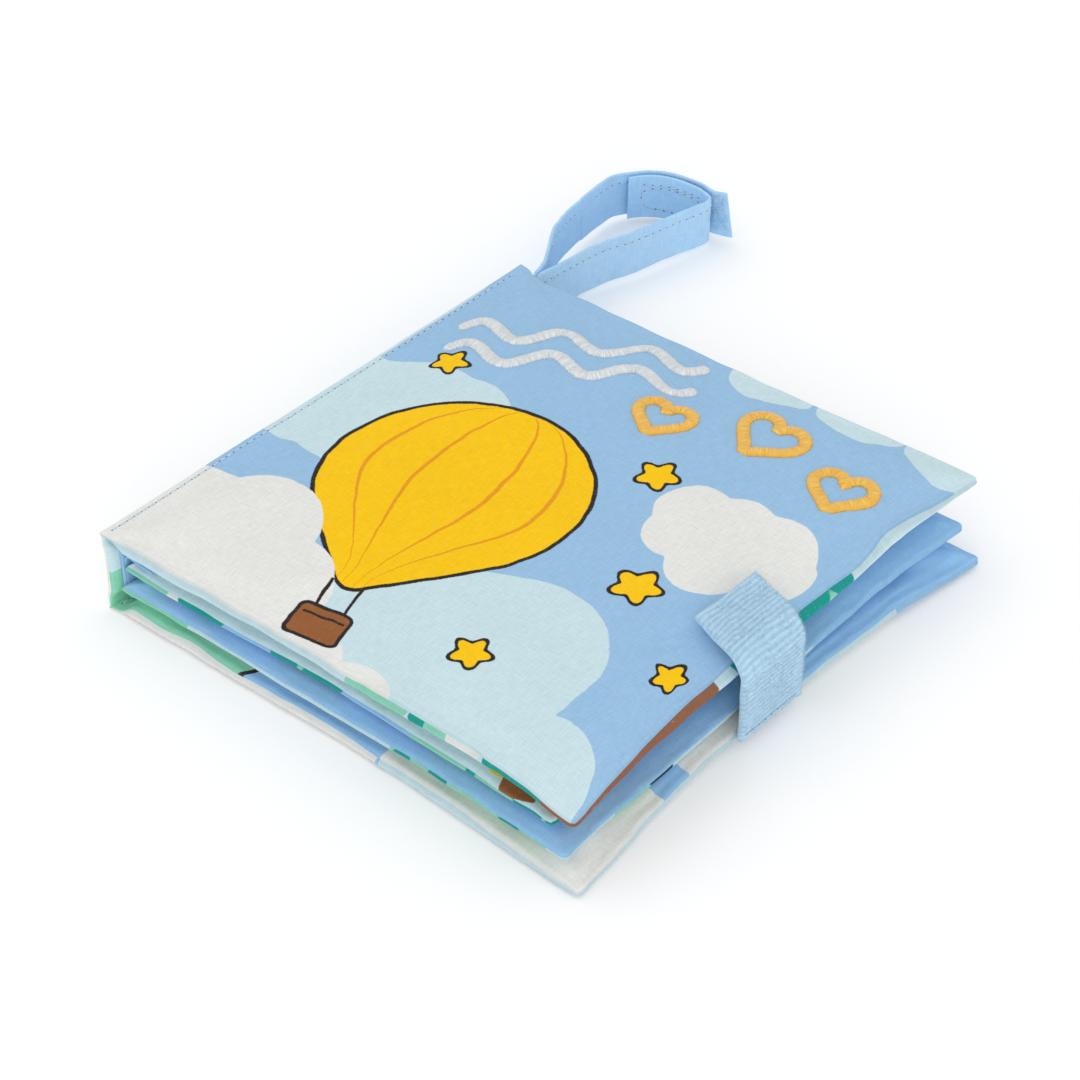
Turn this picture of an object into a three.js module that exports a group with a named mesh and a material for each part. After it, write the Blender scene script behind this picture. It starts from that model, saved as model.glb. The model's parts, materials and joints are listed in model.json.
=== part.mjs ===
// A soft cloth activity book for a baby, lying closed on a table.
// Two padded covers and a cloth spine hold a folio of two padded leaves. A ribbed closure tab
// is sewn to the back cover and folds over the front one, and a carry strap is sewn to the
// top end of the spine. Millimetres, +Z up, spine along Y, fore-edge towards +X.
import * as THREE from 'three';
import { mergeVertices } from 'three/addons/utils/BufferGeometryUtils.js';

// Driving dimensions of the book
const BOOK_LENGTH = 198;        // along the spine
const COVER_WIDTH = 191;        // from the crease to the fore-edge
const SPINE_HEIGHT = 24;        // height of the front crease over the table
const SPINE_LEAN = 15;          // degrees that the spine leans out towards the front crease
const COVER_SLIP_Y = 4.5;       // the front cover lies this much further towards the strap
const FRONT_RISE = 4.6;         // the front cover is this much higher at its fore-edge

// Driving dimensions of the cloths and padding
const CLOTH = 0.6;              // one layer of printed cotton with its backing
const SEAM_GAP = 0.3;           // clearance between pieces that touch
const BACK_COVER_THICKNESS = 5.6;
const FRONT_COVER_THICKNESS = 6;
const LEAF_THICKNESS = 4.8;
const CRINKLE_FILM = 0.3;
const EDGE_ROUND = 9;           // width of the rounded, padded edge
const CORNER_RADIUS = 5;
const HEM_SET_BACK = 3.5;       // inner cloths are sewn on this far from a crease
const HEM_RAMP = 6.5;           // from the hem to the full thickness of a cover
const WADDING_SET_BACK = 2.5;   // the spine's wadding stops this far from its lower end
const MITRE = 0.95;             // set-back of the inner side of a cloth at a crease

// Driving dimensions of the leaves
const LEAF_1_NARROWER = 17;     // than a cover
const LEAF_2_NARROWER = 11;
const LEAF_1_SHORTER = 5;
const LEAF_2_SHORTER = 2.5;
const LEAF_1_SLIP_Y = 3;
const LEAF_2_SLIP_Y = 1;
const LEAF_1_RISE = 3;
const LEAF_2_RISE = 1.6;
const LEAF_1_BOW = 1.45;        // the middle is this much higher
const LEAF_2_BOW = 0.85;
const LEAF_2_SEAM_HEIGHT = 8.6; // at the root
const LEAF_1_SEAM_HEIGHT = 14;

// Driving dimensions of the spine
const SPINE_CAVITY = 3.1;       // room between its two cloths
const SPINE_RAMP = 2;           // from the hem to the full cavity
const SPINE_BULGE = 0.6;
const GUTTER_THICKNESS = 0.9;
const GUTTER_START = 5.5;       // from either crease
const GUTTER_SHORTER = 3;       // shorter than the book at each end

// Driving dimensions of the closure tab
const TAB_WIDTH = 29.5;
const TAB_PILE = 1.8;
const TAB_CENTRE_Y = -5.7;
const TAB_SKEW = 7.6;           // the flap's end sits this much further towards the strap
const FLAP_LENGTH = 24;
const TAB_BEND_RADIUS = 1.6;
const LINING_SET_BACK = 0.8;    // from the edges of the ribbed cloth
const PATCH_THICKNESS = 0.8;
const PATCH_LENGTH = 16;
const PATCH_WIDTH = 22;

// Driving dimensions of the carry strap
const STRAP_WIDTH = 18;
const STRAP_THICKNESS = 1.1;
const STRAP_LIFT = 2.2;         // lower edge over the table
const STRAP_TAIL = 9;           // sewn into the spine
const STRAP_TAIL_OUT = 2;       // stands out of the spine's end
const STRAP_SWING_GAP = 0.6;    // between the sewn-in tails and the strands that swing on them
const STRAP_TAIL_WIDTH = 10;    // gathered to fit between the spine's cloths
const STRAP_SPREAD = 5;         // from gathered to the full width
const STRAP_UNTWIST = 22;       // from leaning with the spine to upright
const STRAP_TURN_BACK = 4;      // the closing end meets the bent-back end this far from its tip
const STRAP_CLOSED = 32;        // length of the closing end that lies over the bent-back end
const STRAP_HINGE_AT = 92;      // along the outer strand, where its end peels open
const STRAP_PATCH_START = 8;    // from the tip of the bent-back end
const STRAP_PATCH_THICKNESS = 0.5;
const STRAP_PATCH_LENGTH = 22;
const STRAP_PATCH_WIDTH = 12;

// Colours
const SKY = 0xa5c8eb;
const AQUA = 0xc8e4e8;
const MINT = 0x96e1be;
const WHITE = 0xeeeeeb;
const TAB_BLUE = 0xa5cde8;
const STRAP_BLUE = 0xa0c3eb;

const radians = THREE.MathUtils.degToRad;
const leanTan = Math.tan(radians(SPINE_LEAN));
const leanCos = Math.cos(radians(SPINE_LEAN));
const leanSin = Math.sin(radians(SPINE_LEAN));
const book = new THREE.Group();

// The two crease lines run along Y: the lower one at the table, the upper one over it
const backCrease = { x: -COVER_WIDTH / 2, z: 0 };
const frontCrease = { x: backCrease.x - SPINE_HEIGHT * leanTan, z: SPINE_HEIGHT };
const spineLength = SPINE_HEIGHT / leanCos;
const spineThickness = SPINE_CAVITY + 2 * CLOTH;

// Adds one named piece to the book
function addPiece(name, geometry, color, roughness = 0.9) {
  const material = new THREE.MeshStandardMaterial({ color, roughness, metalness: 0 });
  const mesh = new THREE.Mesh(geometry, material);
  mesh.name = name;
  book.add(mesh);
}

// Closed geometry from a list of points and a list of triangles
function solidFrom(points, triangles) {
  const geometry = new THREE.BufferGeometry();
  geometry.setAttribute('position', new THREE.Float32BufferAttribute(points.flat(), 3));
  geometry.setIndex(triangles.flat());
  const merged = mergeVertices(geometry, 1e-5);
  merged.computeVertexNormals();
  return merged;
}

// Closed solid between two grids of points, top[i][j] over bottom[i][j], joined round the rim
function solidBetween(top, bottom) {
  const columns = top.length;
  const rows = top[0].length;
  const points = [...top.flat(), ...bottom.flat()];
  const at = (layer, i, j) => layer * columns * rows + i * rows + j;
  const triangles = [];
  const quad = (a, b, c, d) => triangles.push([a, b, c], [a, c, d]);
  for (let i = 0; i < columns - 1; i += 1) {
    for (let j = 0; j < rows - 1; j += 1) {
      quad(at(0, i, j), at(0, i + 1, j), at(0, i + 1, j + 1), at(0, i, j + 1));
      quad(at(1, i, j), at(1, i, j + 1), at(1, i + 1, j + 1), at(1, i + 1, j));
    }
  }
  for (let i = 0; i < columns - 1; i += 1) {
    quad(at(0, i, 0), at(1, i, 0), at(1, i + 1, 0), at(0, i + 1, 0));
    quad(at(0, i + 1, rows - 1), at(1, i + 1, rows - 1), at(1, i, rows - 1), at(0, i, rows - 1));
  }
  for (let j = 0; j < rows - 1; j += 1) {
    quad(at(0, 0, j + 1), at(1, 0, j + 1), at(1, 0, j), at(0, 0, j));
    const end = columns - 1;
    quad(at(0, end, j), at(1, end, j), at(1, end, j + 1), at(0, end, j + 1));
  }
  return solidFrom(points, triangles);
}

// Rise of a padded surface at a distance from its seam, from 0 at the seam to 1 inside
function roundedRise(distance) {
  const share = THREE.MathUtils.clamp(distance / EDGE_ROUND, 0, 1);
  return Math.sqrt(1 - (1 - share) ** 2);
}

// Form of a padded panel where it has no sizes of its own: how far its middle bows up, how far
// each face crowns, how far its seam droops, how far its sides are drawn in between the corners,
// how far its fore-edge is lifted at the middle, and how wavy its edges are
const PANEL_FORM = { bow: 0, crown: 0, droop: 0, drawFore: 2.5, drawEnds: 2, lift: 0, wave: 0.5 };
const LIFT_START = 0.4;         // share of the half width from which the fore-edge lifts
const LIFT_WIDTH = 0.85;        // share of the half length over which it lifts

// Distances of the grid lines from a seam or a crease, for the outside and inside of a cloth
const SEAM_LINES_OUTSIDE = [0, 0.8, 2.5, 6];
const SEAM_LINES_INSIDE = [0.8, 1.6, 2.5, 6];
const HEM_LINES = [HEM_SET_BACK, 4.3, 5.5, 8.5];
const CREASE_LINES_OUTSIDE = [SEAM_GAP / 2, MITRE, HEM_SET_BACK, 7];
const CREASE_LINES_INSIDE = [MITRE, 1.8, HEM_SET_BACK, 7];
const EVEN_LINES_START = 12;
const UNDER_CLOTH = CLOTH + SEAM_GAP + 0.05;

// A padded panel: two cloths sewn together round a seam, with wadding between them.
// Its creased side, where it has one, has a single cloth that runs on to the crease line.
class PaddedPanel {
  constructor(sizes) {
    Object.assign(this, PANEL_FORM, sizes);
    this.midX = (this.x0 + this.x1) / 2;
    this.midY = (this.y0 + this.y1) / 2;
    this.halfX = (this.x1 - this.x0) / 2;
    this.halfY = (this.y1 - this.y0) / 2;
  }

  // Half thickness: full inside, one cloth and half the seam gap where a crease is near
  halfThickness(x) {
    const full = this.thickness / 2;
    if (!this.crease) {
      return full;
    }
    const pinched = CLOTH + SEAM_GAP / 2;
    const share = THREE.MathUtils.smoothstep(x - this.x0, HEM_SET_BACK, HEM_SET_BACK + HEM_RAMP);
    return pinched + (full - pinched) * share;
  }

  // Shares from -1 to 1 across and along the panel
  shares(x, y) {
    return [(x - this.midX) / this.halfX, (y - this.midY) / this.halfY];
  }

  dome(x, y) {
    const [a, b] = this.shares(x, y);
    return Math.max(0, 1 - a * a) * Math.max(0, 1 - b * b);
  }

  // Distance from the nearest seam, leaving out a creased side
  seamDistance(x, y) {
    const distances = [this.x1 - x, y - this.y0, this.y1 - y];
    if (!this.crease) {
      distances.push(x - this.x0);
    }
    return Math.max(0, Math.min(...distances));
  }

  // Rise of the padding at a point: 0 at a seam, 1 inside and on the single cloth by a crease
  riseAt(x, y) {
    const rounded = roundedRise(this.seamDistance(x, y));
    if (!this.crease) {
      return rounded;
    }
    const share = THREE.MathUtils.smoothstep(x - this.x0, HEM_SET_BACK, HEM_SET_BACK + 5);
    return 1 + (rounded - 1) * share;
  }

  // Height of the seam surface, halfway between the two cloths
  seamHeight(x, y) {
    const [a, b] = this.shares(x, y);
    const across = (x - this.x0) / (this.x1 - this.x0);
    let base = this.rootHeight + this.rise * across;
    if (this.crease === 'upper') {
      base -= this.halfThickness(x);
    }
    if (this.crease === 'lower') {
      base += this.halfThickness(x);
    }
    const edge = 1 - this.riseAt(x, y);
    const towardsFore = Math.max(0, (a - LIFT_START) / (1 - LIFT_START));
    const pulled = this.lift * towardsFore ** 3 * Math.max(0, 1 - (b / LIFT_WIDTH) ** 2);
    return base + this.bow * this.dome(x, y) - this.droop * edge + pulled;
  }

  // Height of the outside of the upper (+1) or lower (-1) cloth, less a depth into the panel
  faceHeight(x, y, side, depth = 0) {
    const rise = this.riseAt(x, y);
    const full = this.halfThickness(x) + (this.flatSide === side ? 0 : this.crown * this.dome(x, y));
    const half = SEAM_GAP / 2 + (full - SEAM_GAP / 2) * rise;
    return this.seamHeight(x, y) + side * Math.max(SEAM_GAP / 2, half - depth);
  }

  // Plan position with rounded corners, sides drawn in between them and slightly wavy edges
  plan(x, y) {
    const fromFore = this.x1 - x;
    const fromEnd = Math.min(y - this.y0, this.y1 - y);
    let px = x;
    let py = y;
    if (fromFore < CORNER_RADIUS && fromEnd < CORNER_RADIUS) {
      const inX = CORNER_RADIUS - fromFore;
      const inY = CORNER_RADIUS - fromEnd;
      const scale = Math.max(inX, inY) / Math.hypot(inX, inY);
      px = this.x1 - CORNER_RADIUS + inX * scale;
      const sign = y > this.midY ? 1 : -1;
      py = this.midY + sign * (this.halfY - CORNER_RADIUS + inY * scale);
    }
    const [a, b] = this.shares(px, py);
    const foreWave = this.wave * Math.sin(5 * b + this.phase) * Math.max(0, a) ** 6;
    const endWave = this.wave * Math.sin(5 * a + 2 * this.phase) * b ** 6;
    const outX = px - this.drawFore * Math.max(0, a) ** 2 * (1 - b * b) + foreWave * (1 - b * b);
    const outY = py - this.drawEnds * Math.sign(b) * b * b * (1 - a * a) + endWave * (1 - a * a);
    return [outX, outY];
  }

  point(x, y, z) {
    const [px, py] = this.plan(x, y);
    return [px, py, z];
  }

  // Grid lines between two edges: close together at the seams, even between them
  lines(low, high, nearLow, nearHigh, spans) {
    const inner = [];
    const start = low + EVEN_LINES_START;
    const end = high - EVEN_LINES_START;
    for (let k = 0; k <= spans; k += 1) {
      inner.push(start + ((end - start) * k) / spans);
    }
    return [...nearLow.map((d) => low + d), ...inner, ...nearHigh.map((d) => high - d).reverse()];
  }

  // Grid of points on a face at a depth; the rim is at the seam, set in by the rim distances
  grid(side, depth, rim, spans, rimDepth) {
    const creased = this.crease !== undefined;
    const nearRoot = creased ? rim.crease : rim.seam;
    const xs = this.lines(this.x0, this.x1, nearRoot, rim.seam, spans);
    const ys = this.lines(this.y0, this.y1, rim.seam, rim.seam, spans);
    return xs.map((x, i) => ys.map((y, j) => {
      const atRim = i === xs.length - 1 || j === 0 || j === ys.length - 1 || (i === 0 && !creased);
      const z = atRim && depth > 0
        ? this.seamHeight(x, y) + side * rimDepth
        : this.faceHeight(x, y, side, depth);
      return this.point(x, y, z);
    }));
  }

  // One of the panel's two cloths: a shallow tray with its rim on the seam
  cloth(side, spans = 5) {
    const outerCloth = this.crease === (side > 0 ? 'upper' : 'lower');
    const outsideRim = { seam: SEAM_LINES_OUTSIDE, crease: outerCloth ? CREASE_LINES_OUTSIDE : HEM_LINES };
    const insideRim = { seam: SEAM_LINES_INSIDE, crease: outerCloth ? CREASE_LINES_INSIDE : HEM_LINES };
    const outside = this.grid(side, 0, outsideRim, spans, SEAM_GAP / 2);
    const inside = this.grid(side, CLOTH, insideRim, spans, SEAM_GAP / 2);
    return side > 0 ? solidBetween(outside, inside) : solidBetween(inside, outside);
  }

  // The wadding that fills the panel, clear of both cloths
  wadding(depthOver = 0, spans = 5) {
    const rim = { seam: SEAM_LINES_OUTSIDE.slice(2), crease: HEM_LINES.slice(2) };
    const top = this.grid(1, UNDER_CLOTH + depthOver, rim, spans, SEAM_GAP);
    const bottom = this.grid(-1, UNDER_CLOTH, rim, spans, SEAM_GAP);
    return solidBetween(top, bottom);
  }

  // A crinkle film that lies on the wadding under the upper cloth
  film(spans = 5) {
    const setBack = [SEAM_LINES_OUTSIDE[3], EDGE_ROUND];
    const xs = this.lines(this.x0, this.x1, setBack, setBack, spans);
    const ys = this.lines(this.y0, this.y1, setBack, setBack, spans);
    const surface = (extra) => xs.map((x) => ys.map(
      (y) => this.point(x, y, this.faceHeight(x, y, 1, UNDER_CLOTH + extra)),
    ));
    return solidBetween(surface(0), surface(CRINKLE_FILM));
  }
}

// The four panels
const backCover = new PaddedPanel({
  x0: backCrease.x, x1: backCrease.x + COVER_WIDTH, y0: -BOOK_LENGTH / 2, y1: BOOK_LENGTH / 2,
  thickness: BACK_COVER_THICKNESS, crease: 'lower', flatSide: -1, rootHeight: 0, rise: 0,
  crown: 0.5, droop: 1.3, drawFore: 6.6, lift: 2, phase: 0.4,
});
const frontCover = new PaddedPanel({
  x0: frontCrease.x, x1: frontCrease.x + COVER_WIDTH,
  y0: COVER_SLIP_Y - BOOK_LENGTH / 2, y1: COVER_SLIP_Y + BOOK_LENGTH / 2,
  thickness: FRONT_COVER_THICKNESS, crease: 'upper', rootHeight: SPINE_HEIGHT, rise: FRONT_RISE,
  bow: 2.1, crown: 0.4, droop: 0.8, phase: 1.7,
});

// Where a leaf starts: just inside the gutter, at the height of its seam
const gutterInside = spineThickness + SEAM_GAP + GUTTER_THICKNESS;
function leafRootX(seamHeight) {
  return backCrease.x - seamHeight * leanTan + (gutterInside + SEAM_GAP) / leanCos;
}
function leafPanel(seamHeight, narrower, shorter, slipY, rise, bow, phase) {
  const x0 = leafRootX(seamHeight);
  const x1 = x0 + COVER_WIDTH - narrower;
  const halfLength = (BOOK_LENGTH - shorter) / 2;
  return new PaddedPanel({
    x0, x1, y0: slipY - halfLength, y1: slipY + halfLength,
    thickness: LEAF_THICKNESS, rootHeight: seamHeight, rise, bow, crown: 0.25, droop: 0.3, phase,
  });
}
const leaf2 = leafPanel(
  LEAF_2_SEAM_HEIGHT, LEAF_2_NARROWER, LEAF_2_SHORTER, LEAF_2_SLIP_Y, LEAF_2_RISE, LEAF_2_BOW, 2.9,
);
const leaf1 = leafPanel(
  LEAF_1_SEAM_HEIGHT, LEAF_1_NARROWER, LEAF_1_SHORTER, LEAF_1_SLIP_Y, LEAF_1_RISE, LEAF_1_BOW, 4.1,
);

addPiece('back_cover_outer_cloth', backCover.cloth(-1), AQUA);
addPiece('back_cover_wadding', backCover.wadding(), WHITE, 1);
addPiece('back_cover_inner_cloth', backCover.cloth(1), MINT);
addPiece('front_cover_outer_cloth', frontCover.cloth(1, 9), SKY);
addPiece('front_cover_wadding', frontCover.wadding(), WHITE, 1);
addPiece('front_cover_inner_cloth', frontCover.cloth(-1), AQUA);
[['leaf_1', leaf1], ['leaf_2', leaf2]].forEach(([name, leaf]) => {
  addPiece(`${name}_upper_cloth`, leaf.cloth(1), name === 'leaf_1' ? AQUA : SKY);
  addPiece(`${name}_crinkle_film`, leaf.film(), WHITE, 0.3);
  addPiece(`${name}_wadding`, leaf.wadding(CRINKLE_FILM + SEAM_GAP), WHITE, 1);
  addPiece(`${name}_lower_cloth`, leaf.cloth(-1), name === 'leaf_1' ? SKY : MINT);
});

// Solid that runs along Y with a section drawn in X and Z, slipped along Y with its height
function runAlongBook(section, lowY, highY) {
  const shape = new THREE.Shape(section.map(([x, z]) => new THREE.Vector2(x, z)));
  const steps = 6;
  const geometry = new THREE.ExtrudeGeometry(shape, { depth: highY - lowY, bevelEnabled: false, steps });
  geometry.rotateX(Math.PI / 2);
  geometry.translate(0, highY, 0);
  const slip = COVER_SLIP_Y / SPINE_HEIGHT;
  geometry.applyMatrix4(new THREE.Matrix4().makeShear(0, 0, 0, 0, 0, slip));
  geometry.deleteAttribute('normal');
  geometry.deleteAttribute('uv');
  return mergeVertices(geometry, 1e-5);
}

// Point in X and Z from the distance along the spine and the depth into it
function onSpine(along, depth) {
  const x = backCrease.x - along * leanSin + depth * leanCos;
  const z = along * leanCos + depth * leanSin;
  return [x, z];
}
const bulgeAt = (along) => -4 * SPINE_BULGE * (along / spineLength) * (1 - along / spineLength);

// A layer of the spine between two depths, with its corners at shared distances from a crease
const spineStations = [HEM_SET_BACK, 4.5, 5.5, 8, 10.2];
function spineLayer(start, setBack, outerDepth, innerDepth) {
  const near = [start, ...spineStations.filter((distance) => distance > start + setBack)];
  const alongs = [...near, ...near.map((distance) => spineLength - distance).reverse()];
  const last = alongs.length - 1;
  const outer = alongs.map((along) => onSpine(along, outerDepth(along)));
  const inner = alongs.map((along, k) => {
    const moved = along + (k === 0 ? setBack : 0) - (k === last ? setBack : 0);
    return onSpine(moved, innerDepth(moved));
  });
  return [...outer, ...inner.reverse()];
}

// Depth of the spine's padded inside: pinched near the creases, full from there on
function spineDepth(along) {
  const fromCrease = Math.min(along, spineLength - along);
  const share = THREE.MathUtils.smoothstep(fromCrease, HEM_SET_BACK, HEM_SET_BACK + SPINE_RAMP);
  return CLOTH + SEAM_GAP + (SPINE_CAVITY - SEAM_GAP) * share;
}
const spineEnd = BOOK_LENGTH / 2;
const outerClothSection = spineLayer(SEAM_GAP / 2, MITRE, bulgeAt, (along) => bulgeAt(along) + CLOTH);
const innerClothSection = spineLayer(HEM_SET_BACK, 0, spineDepth, (along) => spineDepth(along) + CLOTH);
const waddingSection = spineLayer(
  HEM_SET_BACK + SPINE_RAMP, 0,
  (along) => bulgeAt(along) + CLOTH + SEAM_GAP,
  (along) => spineDepth(along) - SEAM_GAP,
);
const gutterSection = spineLayer(GUTTER_START, 0, () => spineThickness + SEAM_GAP, () => gutterInside);
addPiece('spine_outer_cloth', runAlongBook(outerClothSection, -spineEnd, spineEnd), SKY);
addPiece('spine_inner_cloth', runAlongBook(innerClothSection, -spineEnd, spineEnd), MINT);
const tailClearance = STRAP_TAIL + COVER_SLIP_Y / 2 + SEAM_GAP;
addPiece(
  'spine_wadding',
  runAlongBook(waddingSection, WADDING_SET_BACK - spineEnd, spineEnd - tailClearance),
  WHITE,
  1,
);
const gutterEnd = spineEnd - GUTTER_SHORTER;
addPiece('page_gutter_cloth', runAlongBook(gutterSection, -gutterEnd, gutterEnd), SKY);

// The closure tab: a riser sewn to the back cover's fore-edge and a flap over the front cover
const tabThickness = TAB_PILE + SEAM_GAP + CLOTH;
const [backEdgeX] = backCover.plan(backCover.x1, TAB_CENTRE_Y);
const tabSeamZ = backCover.seamHeight(backCover.x1, TAB_CENTRE_Y) + SEAM_GAP;
const riserInnerX = backEdgeX + SEAM_GAP;
const riserOuterX = riserInnerX + tabThickness;
const flapEndX = riserOuterX - TAB_BEND_RADIUS - FLAP_LENGTH;
const patchMidX = (flapEndX + riserInnerX) / 2;

// Highest point of the front cover under the patch, on which the loop patch lies
function highestUnderPatch() {
  let highest = 0;
  for (let k = 0; k <= 8; k += 1) {
    for (let m = 0; m <= 8; m += 1) {
      const x = patchMidX + PATCH_LENGTH * (k / 8 - 0.5) + frontCover.drawFore;
      const y = TAB_CENTRE_Y + TAB_SKEW / 2 + PATCH_WIDTH * (m / 8 - 0.5);
      highest = Math.max(highest, frontCover.faceHeight(x, y, 1));
    }
  }
  return highest;
}
const loopPatchZ = highestUnderPatch() + SEAM_GAP;
const hookPatchZ = loopPatchZ + PATCH_THICKNESS + SEAM_GAP;
const flapLiningZ = hookPatchZ + PATCH_THICKNESS + SEAM_GAP;
const flapPileZ = flapLiningZ + CLOTH + SEAM_GAP;
const flapTopZ = flapPileZ + TAB_PILE;

// Solid with a section in X and Z and the tab's width along Y; the flap's end is skewed
function acrossTab(section, width, skewed) {
  const shape = new THREE.Shape(section.map(([x, z]) => new THREE.Vector2(x, z)));
  const geometry = new THREE.ExtrudeGeometry(shape, { depth: width, bevelEnabled: false, steps: 4 });
  geometry.rotateX(Math.PI / 2);
  geometry.translate(0, TAB_CENTRE_Y + width / 2, 0);
  const position = geometry.getAttribute('position');
  for (let k = 0; k < position.count && skewed; k += 1) {
    const share = THREE.MathUtils.clamp((riserInnerX - position.getX(k)) / FLAP_LENGTH, 0, 1);
    position.setY(k, position.getY(k) + TAB_SKEW * share);
  }
  geometry.deleteAttribute('normal');
  geometry.deleteAttribute('uv');
  return mergeVertices(geometry, 1e-5);
}

// The bend is split along its diagonal, so the flap can turn about the bend's outer line
const halfGap = SEAM_GAP / 2;
const bendStep = TAB_BEND_RADIUS * (1 - Math.SQRT1_2);
const riserPile = [
  [riserOuterX - TAB_PILE, tabSeamZ],
  [riserOuterX, tabSeamZ],
  [riserOuterX, flapTopZ - TAB_BEND_RADIUS - halfGap],
  [riserOuterX - bendStep, flapTopZ - bendStep - SEAM_GAP],
  [riserOuterX - TAB_PILE, flapTopZ - TAB_PILE - SEAM_GAP],
];
const flapShares = [0.25, 0.5, 0.75, 1];
const flapStartX = riserOuterX - TAB_BEND_RADIUS;
const alongFlap = (z) => flapShares.map((share) => [flapStartX - FLAP_LENGTH * share, z]);
const flapPile = [
  [riserOuterX - TAB_PILE - halfGap, flapPileZ],
  [riserOuterX - bendStep - halfGap, flapTopZ - bendStep],
  [flapStartX, flapTopZ],
  ...alongFlap(flapTopZ),
  ...alongFlap(flapPileZ).reverse(),
];
const liningTop = flapLiningZ + CLOTH - SEAM_GAP;
const riserLining = [
  [riserInnerX, tabSeamZ],
  [riserInnerX + CLOTH, tabSeamZ],
  [riserInnerX + CLOTH, liningTop],
  [riserInnerX, liningTop - CLOTH],
];
const flapLining = [
  [riserInnerX - halfGap, flapLiningZ],
  [riserInnerX + CLOTH - halfGap, flapLiningZ + CLOTH],
  [flapEndX + LINING_SET_BACK, flapLiningZ + CLOTH],
  [flapEndX + LINING_SET_BACK, flapLiningZ],
];
addPiece('tab_riser_pile_cloth', acrossTab(riserPile, TAB_WIDTH, false), TAB_BLUE, 1);
addPiece('tab_riser_lining', acrossTab(riserLining, TAB_WIDTH - 2 * LINING_SET_BACK, false), TAB_BLUE);
addPiece('tab_flap_pile_cloth', acrossTab(flapPile, TAB_WIDTH, true), TAB_BLUE, 1);
addPiece('tab_flap_lining', acrossTab(flapLining, TAB_WIDTH - 2 * LINING_SET_BACK, true), TAB_BLUE);

// Oval patches of hook and loop tape; the loop patch is sewn to the front cover
function ovalPatch(length, width, thickness) {
  const outline = new THREE.EllipseCurve(0, 0, length / 2, width / 2).getPoints(24).slice(0, -1);
  return new THREE.ExtrudeGeometry(new THREE.Shape(outline), { depth: thickness, bevelEnabled: false });
}
function tabPatch(z) {
  const patch = ovalPatch(PATCH_LENGTH, PATCH_WIDTH, PATCH_THICKNESS);
  patch.translate(patchMidX, TAB_CENTRE_Y + TAB_SKEW / 2, z);
  patch.deleteAttribute('normal');
  patch.deleteAttribute('uv');
  return mergeVertices(patch, 1e-5);
}
addPiece('tab_hook_patch', tabPatch(hookPatchZ), WHITE, 0.6);
addPiece('front_cover_loop_patch', tabPatch(loopPatchZ), TAB_BLUE, 1);

// The carry strap: one strand bends back at the far end, and the other closes over it
const strapMidZ = STRAP_LIFT + STRAP_WIDTH / 2;
const strapBaseY = spineEnd + (COVER_SLIP_Y * strapMidZ) / SPINE_HEIGHT;
const pocketDepth = CLOTH + SEAM_GAP + STRAP_THICKNESS / 2;
const [outerBaseX] = onSpine(strapMidZ / leanCos - pocketDepth * leanTan, pocketDepth);
const innerBaseX = outerBaseX + (STRAP_THICKNESS + SEAM_GAP) / leanCos;

// Routes in plan, as distances from the place where the inner strand leaves the spine
const innerRoute = [
  [0, 6], [0.2, 20], [2, 36], [6, 49], [9, 63.4], [11.6, 75], [13, 81], [12.4, 84], [9, 85.6],
  [1, 86], [-7.5, 84.2], [-13.8, 80], [-17.7, 74.4],
];
const outerRoute = [
  [-1.5, 6], [-4.5, 13], [-10.5, 22], [-16.5, 32], [-20, 44], [-21.6, 54], [-22.8, 65], [-22.6, 72],
];
const freeEndRoute = [[16, 90.2], [20.5, 92]];
const planPoint = ([x, y]) => new THREE.Vector3(innerBaseX + x, strapBaseY + y, 0);
const tailOf = (x) => [-STRAP_TAIL, 1].map((y) => new THREE.Vector3(x, strapBaseY + y, 0));
const innerCurve = new THREE.CatmullRomCurve3(
  [...tailOf(innerBaseX), ...innerRoute.map(planPoint)], false, 'centripetal',
);

// Point beside a curve in plan, at a share of its length and a distance out of the loop
function besideCurve(curve, share, distance) {
  const p = curve.getPointAt(share);
  const t = curve.getTangentAt(share);
  return new THREE.Vector3(p.x + t.y * distance, p.y - t.x * distance, 0);
}

// The closing end runs beside the bent-back end, with two sewn-on patches between them
const hookOffset = STRAP_THICKNESS / 2 + SEAM_GAP + STRAP_PATCH_THICKNESS / 2;
const loopOffset = hookOffset + STRAP_PATCH_THICKNESS + SEAM_GAP;
const closingOffset = loopOffset + STRAP_PATCH_THICKNESS / 2 + SEAM_GAP + STRAP_THICKNESS / 2;
const innerLength = innerCurve.getLength();
const shareFromEnd = (distance) => 1 - distance / innerLength;
const closing = [];
for (let distance = STRAP_TURN_BACK; distance <= STRAP_CLOSED; distance += STRAP_TURN_BACK) {
  closing.push(besideCurve(innerCurve, shareFromEnd(distance), closingOffset));
}
const outerCurve = new THREE.CatmullRomCurve3(
  [...tailOf(outerBaseX), ...outerRoute.map(planPoint), ...closing, ...freeEndRoute.map(planPoint)],
  false,
  'centripetal',
);

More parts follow.
